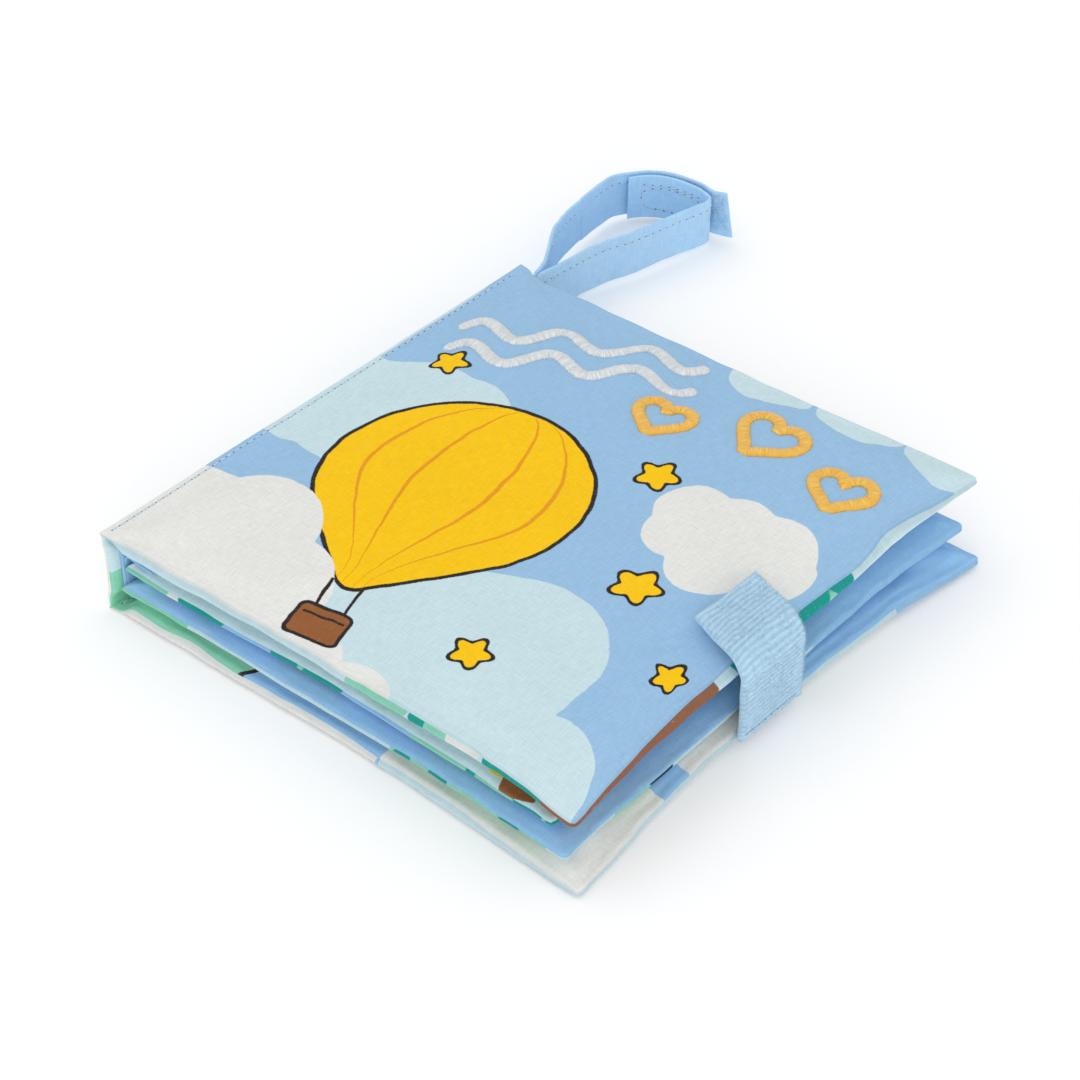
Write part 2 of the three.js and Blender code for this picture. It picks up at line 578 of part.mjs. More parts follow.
// Ribbon on edge along part of a curve in plan; it leans with the spine where it is sewn in
function ribbon(curve, from, to, steps, thickness, width, offset = 0) {
  const near = [];
  const far = [];
  for (let k = 0; k <= steps; k += 1) {
    const share = from + ((to - from) * k) / steps;
    const middle = curve.getPointAt(share);
    const leaning = 1 - THREE.MathUtils.smoothstep(middle.y, strapBaseY, strapBaseY + STRAP_UNTWIST);
    const outOfSpine = middle.y - strapBaseY;
    const spread = THREE.MathUtils.smoothstep(outOfSpine, STRAP_TAIL_OUT, STRAP_TAIL_OUT + STRAP_SPREAD);
    const half = width / 2 - ((1 - spread) * (STRAP_WIDTH - STRAP_TAIL_WIDTH)) / 2;
    const row = (distance) => [-half, 0, half].map((height) => {
      const p = besideCurve(curve, share, distance);
      return [p.x - height * leanTan * leaning, p.y, strapMidZ + height];
    });
    near.push(row(offset - thickness / 2));
    far.push(row(offset + thickness / 2));
  }
  return solidBetween(far, near);
}
const patchFrom = shareFromEnd(STRAP_PATCH_START + STRAP_PATCH_LENGTH);
const patchTo = shareFromEnd(STRAP_PATCH_START);
function strand(curve, from, to, steps) {
  const length = curve.getLength();
  return ribbon(curve, from / length, to / length, steps, STRAP_THICKNESS, STRAP_WIDTH);
}
const tailLength = STRAP_TAIL + STRAP_TAIL_OUT;
const strandStart = tailLength + STRAP_SWING_GAP;
addPiece('strap_inner_tail', strand(innerCurve, 0, tailLength, 3), STRAP_BLUE);
addPiece('strap_outer_tail', strand(outerCurve, 0, tailLength, 3), STRAP_BLUE);
addPiece('strap_inner_strand', strand(innerCurve, strandStart, innerLength, 40), STRAP_BLUE);
addPiece('strap_outer_strand', strand(outerCurve, strandStart, STRAP_HINGE_AT, 24), STRAP_BLUE);
const outerEndStart = STRAP_HINGE_AT + SEAM_GAP;
addPiece('strap_outer_end', strand(outerCurve, outerEndStart, outerCurve.getLength(), 16), STRAP_BLUE);
addPiece(
  'strap_hook_patch',
  ribbon(innerCurve, patchFrom, patchTo, 8, STRAP_PATCH_THICKNESS, STRAP_PATCH_WIDTH, hookOffset),
  WHITE,
  0.6,
);
addPiece(
  'strap_loop_patch',
  ribbon(innerCurve, patchFrom, patchTo, 8, STRAP_PATCH_THICKNESS, STRAP_PATCH_WIDTH, loopOffset),
  STRAP_BLUE,
  1,
);

export default book;
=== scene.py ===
# Looks of a soft cloth activity book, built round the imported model.
# Shapes are worked out in millimetres and turned into metres when a mesh is made.
import json
from dataclasses import dataclass
from math import cos, pi, radians, sin, sqrt, tan

import bpy
import numpy as np
from mathutils import Matrix, Vector
from mathutils.bvhtree import BVHTree
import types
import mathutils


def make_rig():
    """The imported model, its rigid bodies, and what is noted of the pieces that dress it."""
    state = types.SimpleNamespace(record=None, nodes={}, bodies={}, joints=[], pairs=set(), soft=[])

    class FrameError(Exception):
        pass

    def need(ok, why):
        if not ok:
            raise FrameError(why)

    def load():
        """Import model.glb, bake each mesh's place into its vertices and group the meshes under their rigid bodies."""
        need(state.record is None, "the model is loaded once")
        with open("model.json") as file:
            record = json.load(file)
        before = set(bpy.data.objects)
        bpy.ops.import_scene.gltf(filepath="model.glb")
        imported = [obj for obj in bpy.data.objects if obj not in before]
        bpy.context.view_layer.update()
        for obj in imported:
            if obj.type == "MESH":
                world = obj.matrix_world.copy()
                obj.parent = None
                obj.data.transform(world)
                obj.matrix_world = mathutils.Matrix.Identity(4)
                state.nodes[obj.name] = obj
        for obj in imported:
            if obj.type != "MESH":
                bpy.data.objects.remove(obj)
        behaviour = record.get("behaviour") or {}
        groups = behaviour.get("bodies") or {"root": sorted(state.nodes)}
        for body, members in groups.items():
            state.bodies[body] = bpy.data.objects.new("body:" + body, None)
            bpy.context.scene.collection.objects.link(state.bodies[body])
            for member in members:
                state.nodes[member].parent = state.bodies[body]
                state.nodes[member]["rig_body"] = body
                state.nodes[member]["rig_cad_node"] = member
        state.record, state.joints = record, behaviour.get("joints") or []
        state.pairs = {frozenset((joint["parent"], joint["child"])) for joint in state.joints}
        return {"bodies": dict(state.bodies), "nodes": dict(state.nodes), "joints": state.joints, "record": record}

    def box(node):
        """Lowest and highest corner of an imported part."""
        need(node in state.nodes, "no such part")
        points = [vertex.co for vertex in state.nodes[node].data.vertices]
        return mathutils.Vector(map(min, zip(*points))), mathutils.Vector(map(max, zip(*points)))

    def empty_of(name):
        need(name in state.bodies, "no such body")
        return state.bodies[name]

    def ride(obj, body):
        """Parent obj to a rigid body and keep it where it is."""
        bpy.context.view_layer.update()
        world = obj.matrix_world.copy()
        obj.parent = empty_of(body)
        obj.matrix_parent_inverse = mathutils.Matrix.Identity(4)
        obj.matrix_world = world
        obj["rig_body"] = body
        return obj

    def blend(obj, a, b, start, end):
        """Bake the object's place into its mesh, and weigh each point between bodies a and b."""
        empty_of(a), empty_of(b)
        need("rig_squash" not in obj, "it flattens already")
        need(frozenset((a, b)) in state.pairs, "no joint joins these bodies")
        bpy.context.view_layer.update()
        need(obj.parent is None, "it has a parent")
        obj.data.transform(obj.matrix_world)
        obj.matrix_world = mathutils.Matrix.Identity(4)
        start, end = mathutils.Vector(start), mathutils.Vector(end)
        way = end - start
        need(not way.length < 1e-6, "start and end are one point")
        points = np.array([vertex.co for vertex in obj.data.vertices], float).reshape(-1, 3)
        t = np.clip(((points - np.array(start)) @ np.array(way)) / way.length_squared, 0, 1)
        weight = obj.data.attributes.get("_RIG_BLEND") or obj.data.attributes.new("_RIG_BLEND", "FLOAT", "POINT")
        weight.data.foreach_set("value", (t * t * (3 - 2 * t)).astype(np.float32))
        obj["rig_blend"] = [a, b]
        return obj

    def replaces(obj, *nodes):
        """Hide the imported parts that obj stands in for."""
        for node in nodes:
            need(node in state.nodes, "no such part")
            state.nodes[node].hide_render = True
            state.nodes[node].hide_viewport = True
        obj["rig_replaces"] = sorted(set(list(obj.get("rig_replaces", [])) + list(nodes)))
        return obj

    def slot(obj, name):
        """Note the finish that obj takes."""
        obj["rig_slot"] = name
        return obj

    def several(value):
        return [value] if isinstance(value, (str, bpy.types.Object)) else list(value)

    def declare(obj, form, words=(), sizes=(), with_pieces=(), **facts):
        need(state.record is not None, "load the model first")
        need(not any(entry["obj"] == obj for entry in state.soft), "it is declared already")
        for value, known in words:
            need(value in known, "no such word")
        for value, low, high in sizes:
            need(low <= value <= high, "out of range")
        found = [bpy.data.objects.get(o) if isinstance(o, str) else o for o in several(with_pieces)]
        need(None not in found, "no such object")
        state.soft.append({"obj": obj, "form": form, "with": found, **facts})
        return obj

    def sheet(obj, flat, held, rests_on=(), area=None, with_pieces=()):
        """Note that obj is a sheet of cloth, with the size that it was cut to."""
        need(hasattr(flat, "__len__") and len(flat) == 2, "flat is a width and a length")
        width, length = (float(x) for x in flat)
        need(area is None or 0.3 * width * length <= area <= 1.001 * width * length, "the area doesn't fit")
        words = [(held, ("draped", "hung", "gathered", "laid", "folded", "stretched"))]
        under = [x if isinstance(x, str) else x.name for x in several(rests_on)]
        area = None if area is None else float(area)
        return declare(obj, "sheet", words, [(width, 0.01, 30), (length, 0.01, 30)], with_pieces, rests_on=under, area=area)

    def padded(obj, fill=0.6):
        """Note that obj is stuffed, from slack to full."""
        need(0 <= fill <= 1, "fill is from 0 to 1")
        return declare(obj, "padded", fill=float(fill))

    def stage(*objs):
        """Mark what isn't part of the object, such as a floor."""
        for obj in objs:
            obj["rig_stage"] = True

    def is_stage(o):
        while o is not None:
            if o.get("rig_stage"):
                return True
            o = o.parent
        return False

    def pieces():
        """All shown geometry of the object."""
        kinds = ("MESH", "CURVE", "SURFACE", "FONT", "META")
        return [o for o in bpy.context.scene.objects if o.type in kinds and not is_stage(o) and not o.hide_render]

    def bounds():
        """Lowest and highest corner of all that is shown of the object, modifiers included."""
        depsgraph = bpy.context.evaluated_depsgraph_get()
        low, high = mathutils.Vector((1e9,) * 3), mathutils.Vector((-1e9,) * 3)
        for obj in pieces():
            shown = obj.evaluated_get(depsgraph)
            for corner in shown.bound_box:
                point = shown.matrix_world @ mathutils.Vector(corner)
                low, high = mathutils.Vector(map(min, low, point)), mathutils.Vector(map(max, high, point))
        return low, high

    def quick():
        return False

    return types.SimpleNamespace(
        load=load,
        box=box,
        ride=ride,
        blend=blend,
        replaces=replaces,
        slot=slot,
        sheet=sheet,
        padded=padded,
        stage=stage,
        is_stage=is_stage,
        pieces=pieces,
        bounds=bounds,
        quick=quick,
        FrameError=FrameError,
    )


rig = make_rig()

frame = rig.load()
cad_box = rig.bounds()
MM = 0.001


# Sizes shared with the solids
CLOTH = 0.6
SEAM_GAP = 0.3
EDGE_ROUND = 9
HEM_SET_BACK = 3.5
HEM_RAMP = 6.5
LIFT_START = 0.4
LIFT_WIDTH = 0.85
BOOK_LENGTH = 198
HALF_BOOK = BOOK_LENGTH / 2
COVER_WIDTH = 191
COVER_SLIP_Y = 4.5
SPINE_HEIGHT = 24
SPINE_CAVITY = 3.1
GUTTER_THICKNESS = 0.9
LEAN = radians(15)
BACK_CREASE_X = -95.5
FRONT_CREASE_X = BACK_CREASE_X - SPINE_HEIGHT * tan(LEAN)
SPINE_LENGTH = SPINE_HEIGHT / cos(LEAN)

# Sizes of the sewn forms that only the looks have
CORNER_RADIUS = 2.4
HEM_BLEND = 5
DRAW_ENDS = 2
SEAM_TUCK = 0.6
CREASE_ROUND = 1.3
STUFFING_FRAMES = 16
WRINKLE_LIMIT = 0.9
PUCKER = 0.34
SWELL = 0.25
SEAM_WOBBLE = 0.35
THREE_SIDES = (0, 2.1, 4.2)

# Camera: the photograph's angle, lens and place
AZIMUTH = radians(39.94)
ELEVATION = radians(39.05)
ROLL = radians(1.18)
FOCAL_SHARE = 3167.5 / 1080
SENSOR = 36
CAMERA_DISTANCE = 1000.3
CAMERA_OFFSET = (-0.33, 9.62)
LOOK_AT = np.array([-7.5, 4.5, 0])


def put_in_scene(name, data):
    thing = bpy.data.objects.new(name, data)
    bpy.context.collection.objects.link(thing)
    return thing


def add_camera():
    level = np.array([cos(AZIMUTH), sin(AZIMUTH), 0])
    flat = cos(ELEVATION)
    back = np.array([sin(AZIMUTH) * flat, -cos(AZIMUTH) * flat, sin(ELEVATION)])
    upright = np.cross(back, level)
    c, s = cos(ROLL), sin(ROLL)
    right, up = c * level + s * upright, c * upright - s * level
    place = LOOK_AT + CAMERA_OFFSET[0] * right + CAMERA_OFFSET[1] * up + CAMERA_DISTANCE * back
    data = bpy.data.cameras.new("camera")
    data.sensor_width = SENSOR
    data.lens = FOCAL_SHARE * SENSOR
    data.clip_start = 0.05
    camera = put_in_scene("camera", data)
    turn = Matrix(np.stack([right, up, back], axis=1).tolist()).to_4x4()
    camera.matrix_world = Matrix.Translation(Vector(place * MM)) @ turn
    bpy.context.scene.camera = camera


add_camera()
bpy.context.scene.view_settings.view_transform = "Standard"


def tint(red, green, blue):
    """Linear colour from the values from 0 to 255 that a screen shows."""
    shares = np.array([red, green, blue]) / 255
    linear = np.where(shares <= 0.04045, shares / 12.92, ((shares + 0.055) / 1.055) ** 2.4)
    return (*linear.tolist(), 1.0)


SKY = tint(156, 196, 230)
DEEP_SKY = tint(150, 197, 237)
AQUA = tint(203, 228, 234)
WHITE = tint(233, 234, 230)
YELLOW = tint(255, 203, 4)
BROWN = tint(152, 94, 52)
INK = tint(44, 38, 36)
MINT = tint(141, 214, 184)
GREEN = tint(4, 158, 143)
AMBER = tint(236, 160, 24)
OUTLINE = 0.7


class Value:
    """What a node gives, so that sums of numbers are written with the usual signs."""

    def __init__(self, net, node, output):
        self.net, self.node, self.output = net, node, output

    def __add__(self, other):
        return self.net.math("ADD", self, other)

    def __sub__(self, other):
        return self.net.math("SUBTRACT", self, other)

    def __rsub__(self, other):
        return self.net.math("SUBTRACT", other, self)

    def __mul__(self, other):
        return self.net.math("MULTIPLY", self, other)

    def __truediv__(self, other):
        return self.net.math("DIVIDE", self, other)

    def __pow__(self, other):
        return self.net.math("POWER", self, other)

    def __abs__(self):
        return self.net.math("ABSOLUTE", self)


class Net:
    """The node tree of a material or the world."""

    def __init__(self, owner):
        owner.use_nodes = True
        self.owner, self.tree = owner, owner.node_tree
        self.tree.nodes.clear()

    def add(self, kind, inputs=(), output=0, **settings):
        node = self.tree.nodes.new("ShaderNode" + kind)
        for key, value in settings.items():
            setattr(node, key, value)
        for key, value in dict(inputs).items():
            if isinstance(value, Value):
                self.tree.links.new(value.node.outputs[value.output], node.inputs[key])
            else:
                node.inputs[key].default_value = value
        return Value(self, node, output)

    def math(self, operation, *values):
        return self.add("Math", enumerate(values), operation=operation)

    def vector(self, operation, *values):
        output = "Value" if operation in ("DISTANCE", "DOT_PRODUCT") else "Vector"
        return self.add("VectorMath", enumerate(values), output, operation=operation)

    def split(self, place):
        return [self.add("SeparateXYZ", {0: place}, output) for output in (0, 1)]

    def mix(self, factor, first, second, blend="MIX"):
        return self.add("Mix", {0: factor, 6: first, 7: second}, 2, data_type="RGBA", blend_type=blend)

    def choose(self, test, no, yes):
        return self.add("Mix", {0: test, 2: no, 3: yes}, data_type="FLOAT")

    def on_cloth(self):
        """The place on the cloth: millimetres on the piece laid flat."""
        return self.add("UVMap", output="UV", uv_map="print")

    def seam(self):
        return self.add("Attribute", output="Fac", attribute_name="seam")

    def noise(self, place, scale, detail=2.0, stretch=None, output="Fac"):
        if stretch is not None:
            place = self.vector("MULTIPLY", place, stretch)
        return self.add("TexNoise", {"Vector": place, "Scale": scale, "Detail": detail}, output)

    def between(self, value, low, high, to_low=0.0, to_high=1.0):
        inputs = {"Value": value, "From Min": low, "From Max": high, "To Min": to_low, "To Max": to_high}
        return self.add("MapRange", inputs, interpolation_type="SMOOTHSTEP")

    def tinge(self, under, colour, value, low, high, *shares):
        """Mixes a colour in as a value goes from low to high, by shares from 0 to 1 if none are given."""
        return self.mix(self.between(value, low, high, *shares), under, colour)

    # Distances from printed forms, below 0 inside them
    def circle(self, place, x, y, radius):
        return self.vector("DISTANCE", place, (x, y, 0)) - radius

    def puffs(self, place, circles, soft=1.5):
        distance = self.circle(place, *circles[0])
        for circle in circles[1:]:
            distance = self.math("SMOOTH_MIN", distance, self.circle(place, *circle), soft)
        return distance

    def side(self, place, normal, offset):
        """Below 0 on the side away from the normal, which is a unit vector."""
        return self.vector("DOT_PRODUCT", place, (*normal, 0)) - offset

    def paint(self, under, distance, colour, edge=0.18):
        return self.tinge(under, colour, distance, edge, -edge)

    def layers(self, place, colour, *rows):
        """Paints forms one over the other: a tone, a form and, if it is outlined, half the line."""
        for tone, form, *line in rows:
            distance = self.puffs(place, form) if isinstance(form, list) else form(self, place)
            colour = self.paint(colour, distance, tone)
            for half in line:
                colour = self.paint(colour, abs(distance) - half, INK)
        return colour

    def finish(self, colour, height, bump, depth, roughness, specular, sheen, sheen_roughness=0.5):
        """Ends a material in a shader of cloth or thread, with height as its relief."""
        normal = self.add("Bump", {"Strength": bump, "Distance": depth, "Height": height})
        shader = self.add("BsdfPrincipled", {
            "Base Color": colour, "Roughness": roughness, "Specular IOR Level": specular,
            "Sheen Weight": sheen, "Sheen Roughness": sheen_roughness, "Normal": normal})
        self.add("OutputMaterial", {"Surface": shader})
        return self.owner


def material_net(name):
    return Net(bpy.data.materials.new(name))


def cloth(name, art, weave=0.42, slub=1.0):
    """Printed plain-weave cotton. art paints the print from the place on the cloth, in mm."""
    net = material_net(name)
    flat = net.on_cloth()
    # A print's edge follows the threads, so its place wanders a little
    place = flat
    for scale, reach in ((0.11, 1.5), (1.9, 0.45)):
        wander = net.noise(flat, scale, 1.0, output="Color")
        shift = net.vector("MULTIPLY_ADD", wander, (reach, reach, 0), (-reach / 2, -reach / 2, 0))
        place = net.vector("ADD", place, shift)
    colour = art(net, place)

    # Uneven threads run both ways: paler and darker streaks a few millimetres long
    streaks = net.noise(flat, 1.0, 3.0, (0.23, 2.2, 1)) + net.noise(flat, 1.0, 3.0, (2.05, 0.2, 1))
    patches = net.noise(flat, 0.035)
    level = net.between(streaks, 0.74, 1.26, 0.938, 1.048) + net.between(patches, 0.3, 0.7, -0.012, 0.012)
    threads = net.add("CombineColor", {"Red": level, "Green": level, "Blue": level})
    colour = net.mix(1.0, colour, threads, "MULTIPLY")
    # Pale slubs, where undyed fibre shows through the print
    slubs = [net.noise(flat, 1.0, 1.0, stretch) for stretch in ((0.42, 3.8, 1), (4.0, 0.36, 1))]
    fleck = net.math("MAXIMUM", *slubs)
    colour = net.tinge(colour, tint(240, 243, 243), fleck, 0.65, 0.80, 0.0, 0.17 * slub)
    # Shade in the seam's groove
    colour = net.tinge(colour, tint(70, 110, 135), net.seam(), 0.0, 0.35, 0.20, 0.0)

    # Over-and-under threads of a plain weave
    turns = pi / weave
    across, along = net.split(net.vector("MULTIPLY", flat, (turns, turns, turns)))
    over = net.math("SINE", across) * net.math("SINE", along)
    return net.finish(colour, over * 0.35 + streaks, 0.45, 0.00008, 0.95, 0.1, 0.05, 0.6)


def thread(name, colour, dark, roughness=0.5, fibre=(6.0, 0.3, 1), width=0.0):
    """Thread; a width turns on the shade along both edges of satin stitching."""
    net = material_net(name)
    flat = net.on_cloth()
    fibres = net.noise(flat, 1.0, 3.0, fibre)
    tone = net.tinge(dark, colour, fibres, 0.36, 0.64)
    tone = net.tinge(tone, dark, net.noise(flat, 0.5), 0.35, 0.7, 0.0, 0.35)
    if width:
        from_middle = abs(net.split(flat)[1] - width / 2)
        tone = net.tinge(tone, dark, from_middle, 0.2 * width, 0.5 * width, 0.0, 0.55)
    return net.finish(tone, fibres, 0.9, 0.0003, roughness, 0.4, 0.15)


def ribbed_pile():
    net = material_net("ribbed_pile")
    flat = net.on_cloth()
    hairs = net.noise(flat, 1.0, 4.0, (5.5, 1.6, 1))
    clumps = net.noise(flat, 0.5, 3.0)
    # Painted shade: darker in the troughs between the ribs and paler on their crests, by the rib share in the seam
    # attribute; the lining takes the pale tone
    colour = net.tinge(tint(168, 212, 242), tint(198, 231, 250), net.seam(), 0.0, 0.9)
    colour = net.tinge(colour, tint(214, 236, 248), hairs, 0.35, 0.7, 0, 0.40)
    colour = net.tinge(colour, tint(132, 178, 214), clumps, 0.3, 0.7, 0.14, 0.0)
    return net.finish(colour, clumps * 0.6 + hairs, 0.8, 0.0003, 1.0, 0.05, 0.3)


def tape(name, colour, scale):
    """Hook or loop tape, with so many loops in a metre."""
    net = material_net(name)
    place = net.add("TexCoord", output="Object")
    loops = net.add("TexVoronoi", {"Vector": place, "Scale": scale}, "Distance", feature="F1")
    # Painted shade: darker between the loops, away from each loop's middle
    shade = net.tinge(colour, tint(110, 140, 170), loops, 0.1, 0.7, 0.0, 0.5)
    return net.finish(shade, loops, 0.8, 0.0003, 0.7, 0.3, 0.3)


# Shapes: smooth noise, rounded edges, lines of points and closed grids
def value_noise(u, v, seed):
    """Smooth noise from -1 to 1 over a grid of unit cells."""
    size = 64
    cells = np.random.default_rng(seed).uniform(-1, 1, (size, size))
    iu, iv = np.floor(u).astype(int), np.floor(v).astype(int)
    fu, fv = smoothstep(u - iu, 0, 1), smoothstep(v - iv, 0, 1)
    at = lambda a, b: cells[a % size, b % size]
    low = at(iu, iv) * (1 - fu) + at(iu + 1, iv) * fu
    high = at(iu, iv + 1) * (1 - fu) + at(iu + 1, iv + 1) * fu
    return low * (1 - fv) + high * fv


def smoothstep(x, low, high):
    t = np.clip((x - low) / (high - low), 0, 1)
    return t * t * (3 - 2 * t)


def rounded(distance, reach):
    """Height of a quarter round, from 0 at its edge to 1 at its reach."""
    return np.sqrt(1 - (1 - np.clip(distance / reach, 0, 1)) ** 2)


def unit(v):
    return v / np.maximum(np.linalg.norm(v, axis=-1, keepdims=True), 1e-9)


def run_of(points):
    """Distance along a line of points, at each of them."""
    return np.concatenate([[0], np.cumsum(np.linalg.norm(np.diff(points, axis=0), axis=1))])


def at_run(points, run, distance):
    """Points of a line at distances along it."""
    return np.stack([np.interp(distance, run, column) for column in np.transpose(points)], -1)


def left_of(points, *spacing):
    """Unit directions to the left of a line of points in a plane."""
    ahead = unit(np.gradient(points, *spacing, axis=0))
    return np.stack([-ahead[:, 1], ahead[:, 0]], -1)


def grid(first, second):
    return np.meshgrid(first, second, indexing="ij")


def close_at_ends(low, high, near, inner=()):
    """Places from low to high, close together near both ends."""
    return np.concatenate([low + near, inner, (high - near)[::-1]])


def settle(points):
    """The closed book lies a little askew: thicker at its far end, and unchanged at its creases."""
    x, y, z = np.asarray(points, float).T
    far = smoothstep(y, 12, 99) * (1 - smoothstep(y, 104, 113)) * (1.2 + 2.8 * smoothstep(x, -90, 60))
    lift = (far - 1.2 * smoothstep(-y, 12, 99)) * np.clip(z / 12, 0, 1) * smoothstep(x, -96, -72)
    return np.stack([x, y, z + lift], -1)


def make_piece(name, points, faces, materials, places=None, kinds=None, seams=None, subdivide=0,
               askew=True):
    """A mesh object from points in mm, with a place on the cloth and a seam share for each point."""
    if askew:
        points = settle(points)
    mesh = bpy.data.meshes.new(name)
    mesh.from_pydata((np.asarray(points) * MM).tolist(), [], [list(map(int, f)) for f in faces])
    for material in materials:
        mesh.materials.append(material)
    if places is not None:
        corners = np.empty(len(mesh.loops), int)
        mesh.loops.foreach_get("vertex_index", corners)
        layer = mesh.uv_layers.new(name="print")
        layer.data.foreach_set("uv", np.asarray(places, float)[corners].ravel())
    shares = np.ones(len(mesh.vertices)) if seams is None else np.asarray(seams, float)
    mesh.attributes.new("seam", "FLOAT", "POINT").data.foreach_set("value", shares)
    if kinds is not None:
        mesh.polygons.foreach_set("material_index", np.asarray(kinds, int))
    mesh.polygons.foreach_set("use_smooth", np.ones(len(mesh.polygons), bool))
    mesh.validate()
    piece = put_in_scene(name, mesh)
    if subdivide:
        modifier = piece.modifiers.new("smooth", "SUBSURF")
        modifier.levels = modifier.render_levels = subdivide
    return piece


def pillow_faces(columns, rows):
    """Quads of two grids that share their rim, and the second grid's point numbers."""
    top = np.arange(columns * rows).reshape(columns, rows)
    bottom = top.copy()
    bottom[1:-1, 1:-1] = columns * rows + np.arange((columns - 2) * (rows - 2)).reshape(columns - 2, -1)
    quads = lambda g: np.stack([g[:-1, :-1], g[1:, :-1], g[1:, 1:], g[:-1, 1:]], -1).reshape(-1, 4)
    return np.concatenate([quads(top), quads(bottom)[:, ::-1]]), bottom


def joined(first, second):
    """The values of two grids that share their rim, point by point."""
    size = first.shape[2:]
    return np.concatenate([first.reshape(-1, *size), second[1:-1, 1:-1].reshape(-1, *size)])


def pillow(name, sides, places, materials, seams=None, inside_out=False):
    """A closed piece of two grids of points that share their rim, with one or two materials."""
    faces, _ = pillow_faces(*places.shape[:2])
    kinds = np.repeat([0, len(materials) - 1], len(faces) // 2)
    seams = None if seams is None else joined(*seams)
    faces = faces[:, ::-1] if inside_out else faces
    return make_piece(name, joined(*sides), faces, materials, joined(places, places), kinds, seams, 1)


def tubes(name, tracks, materials, sections, kinds=None, askew=False):
    """One mesh of closed tubes: each track is rings of points; sections holds places on each tube."""
    faces, start = [], 0
    for rings in tracks:
        count, around = rings.shape[:2]
        number = start + np.arange(count * around).reshape(count, around)
        after = np.roll(number, -1, axis=1)
        quads = np.stack([number[:-1], number[1:], after[1:], after[:-1]], -1).reshape(-1, 4)
        faces += quads.tolist() + [number[0].tolist(), number[-1][::-1].tolist()]
        start += count * around
    points = np.concatenate([rings.reshape(-1, 3) for rings in tracks])
    places = np.concatenate([section.reshape(-1, 2) for section in sections])
    if kinds is not None:
        kinds = np.repeat(kinds, len(faces) // len(tracks))
    return make_piece(name, points, faces, materials, places, kinds, askew=askew)


def attach(piece, body, slot, *nodes):
    """A piece that moves with one body, in a slot of the record, in place of its nodes."""
    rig.ride(piece, body)
    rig.slot(piece, slot)
    if nodes:
        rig.replaces(piece, *nodes)


# Distances of grid lines from a seam and from a crease, and of the coarse grid's lines
SEAM_LINES = np.array([0, 0.12, 0.4, 0.85, 1.5, 2.4, 3.6, 5.2, 7.2, 9.6])
CREASE_LINES = np.array([0, 0.25, 0.7, 1.4, 2.4, 3.5, 4.8, 6.3, 8.2, 10.4])
COARSE_LINES = np.array([0, 2.5, 6])
STUFFING = {
    "quality": 4, "mass": 0.15, "tension_stiffness": 25, "compression_stiffness": 25, "shear_stiffness": 12,
    "bending_stiffness": 0.2, "use_pressure": True, "uniform_pressure_force": 4,
}


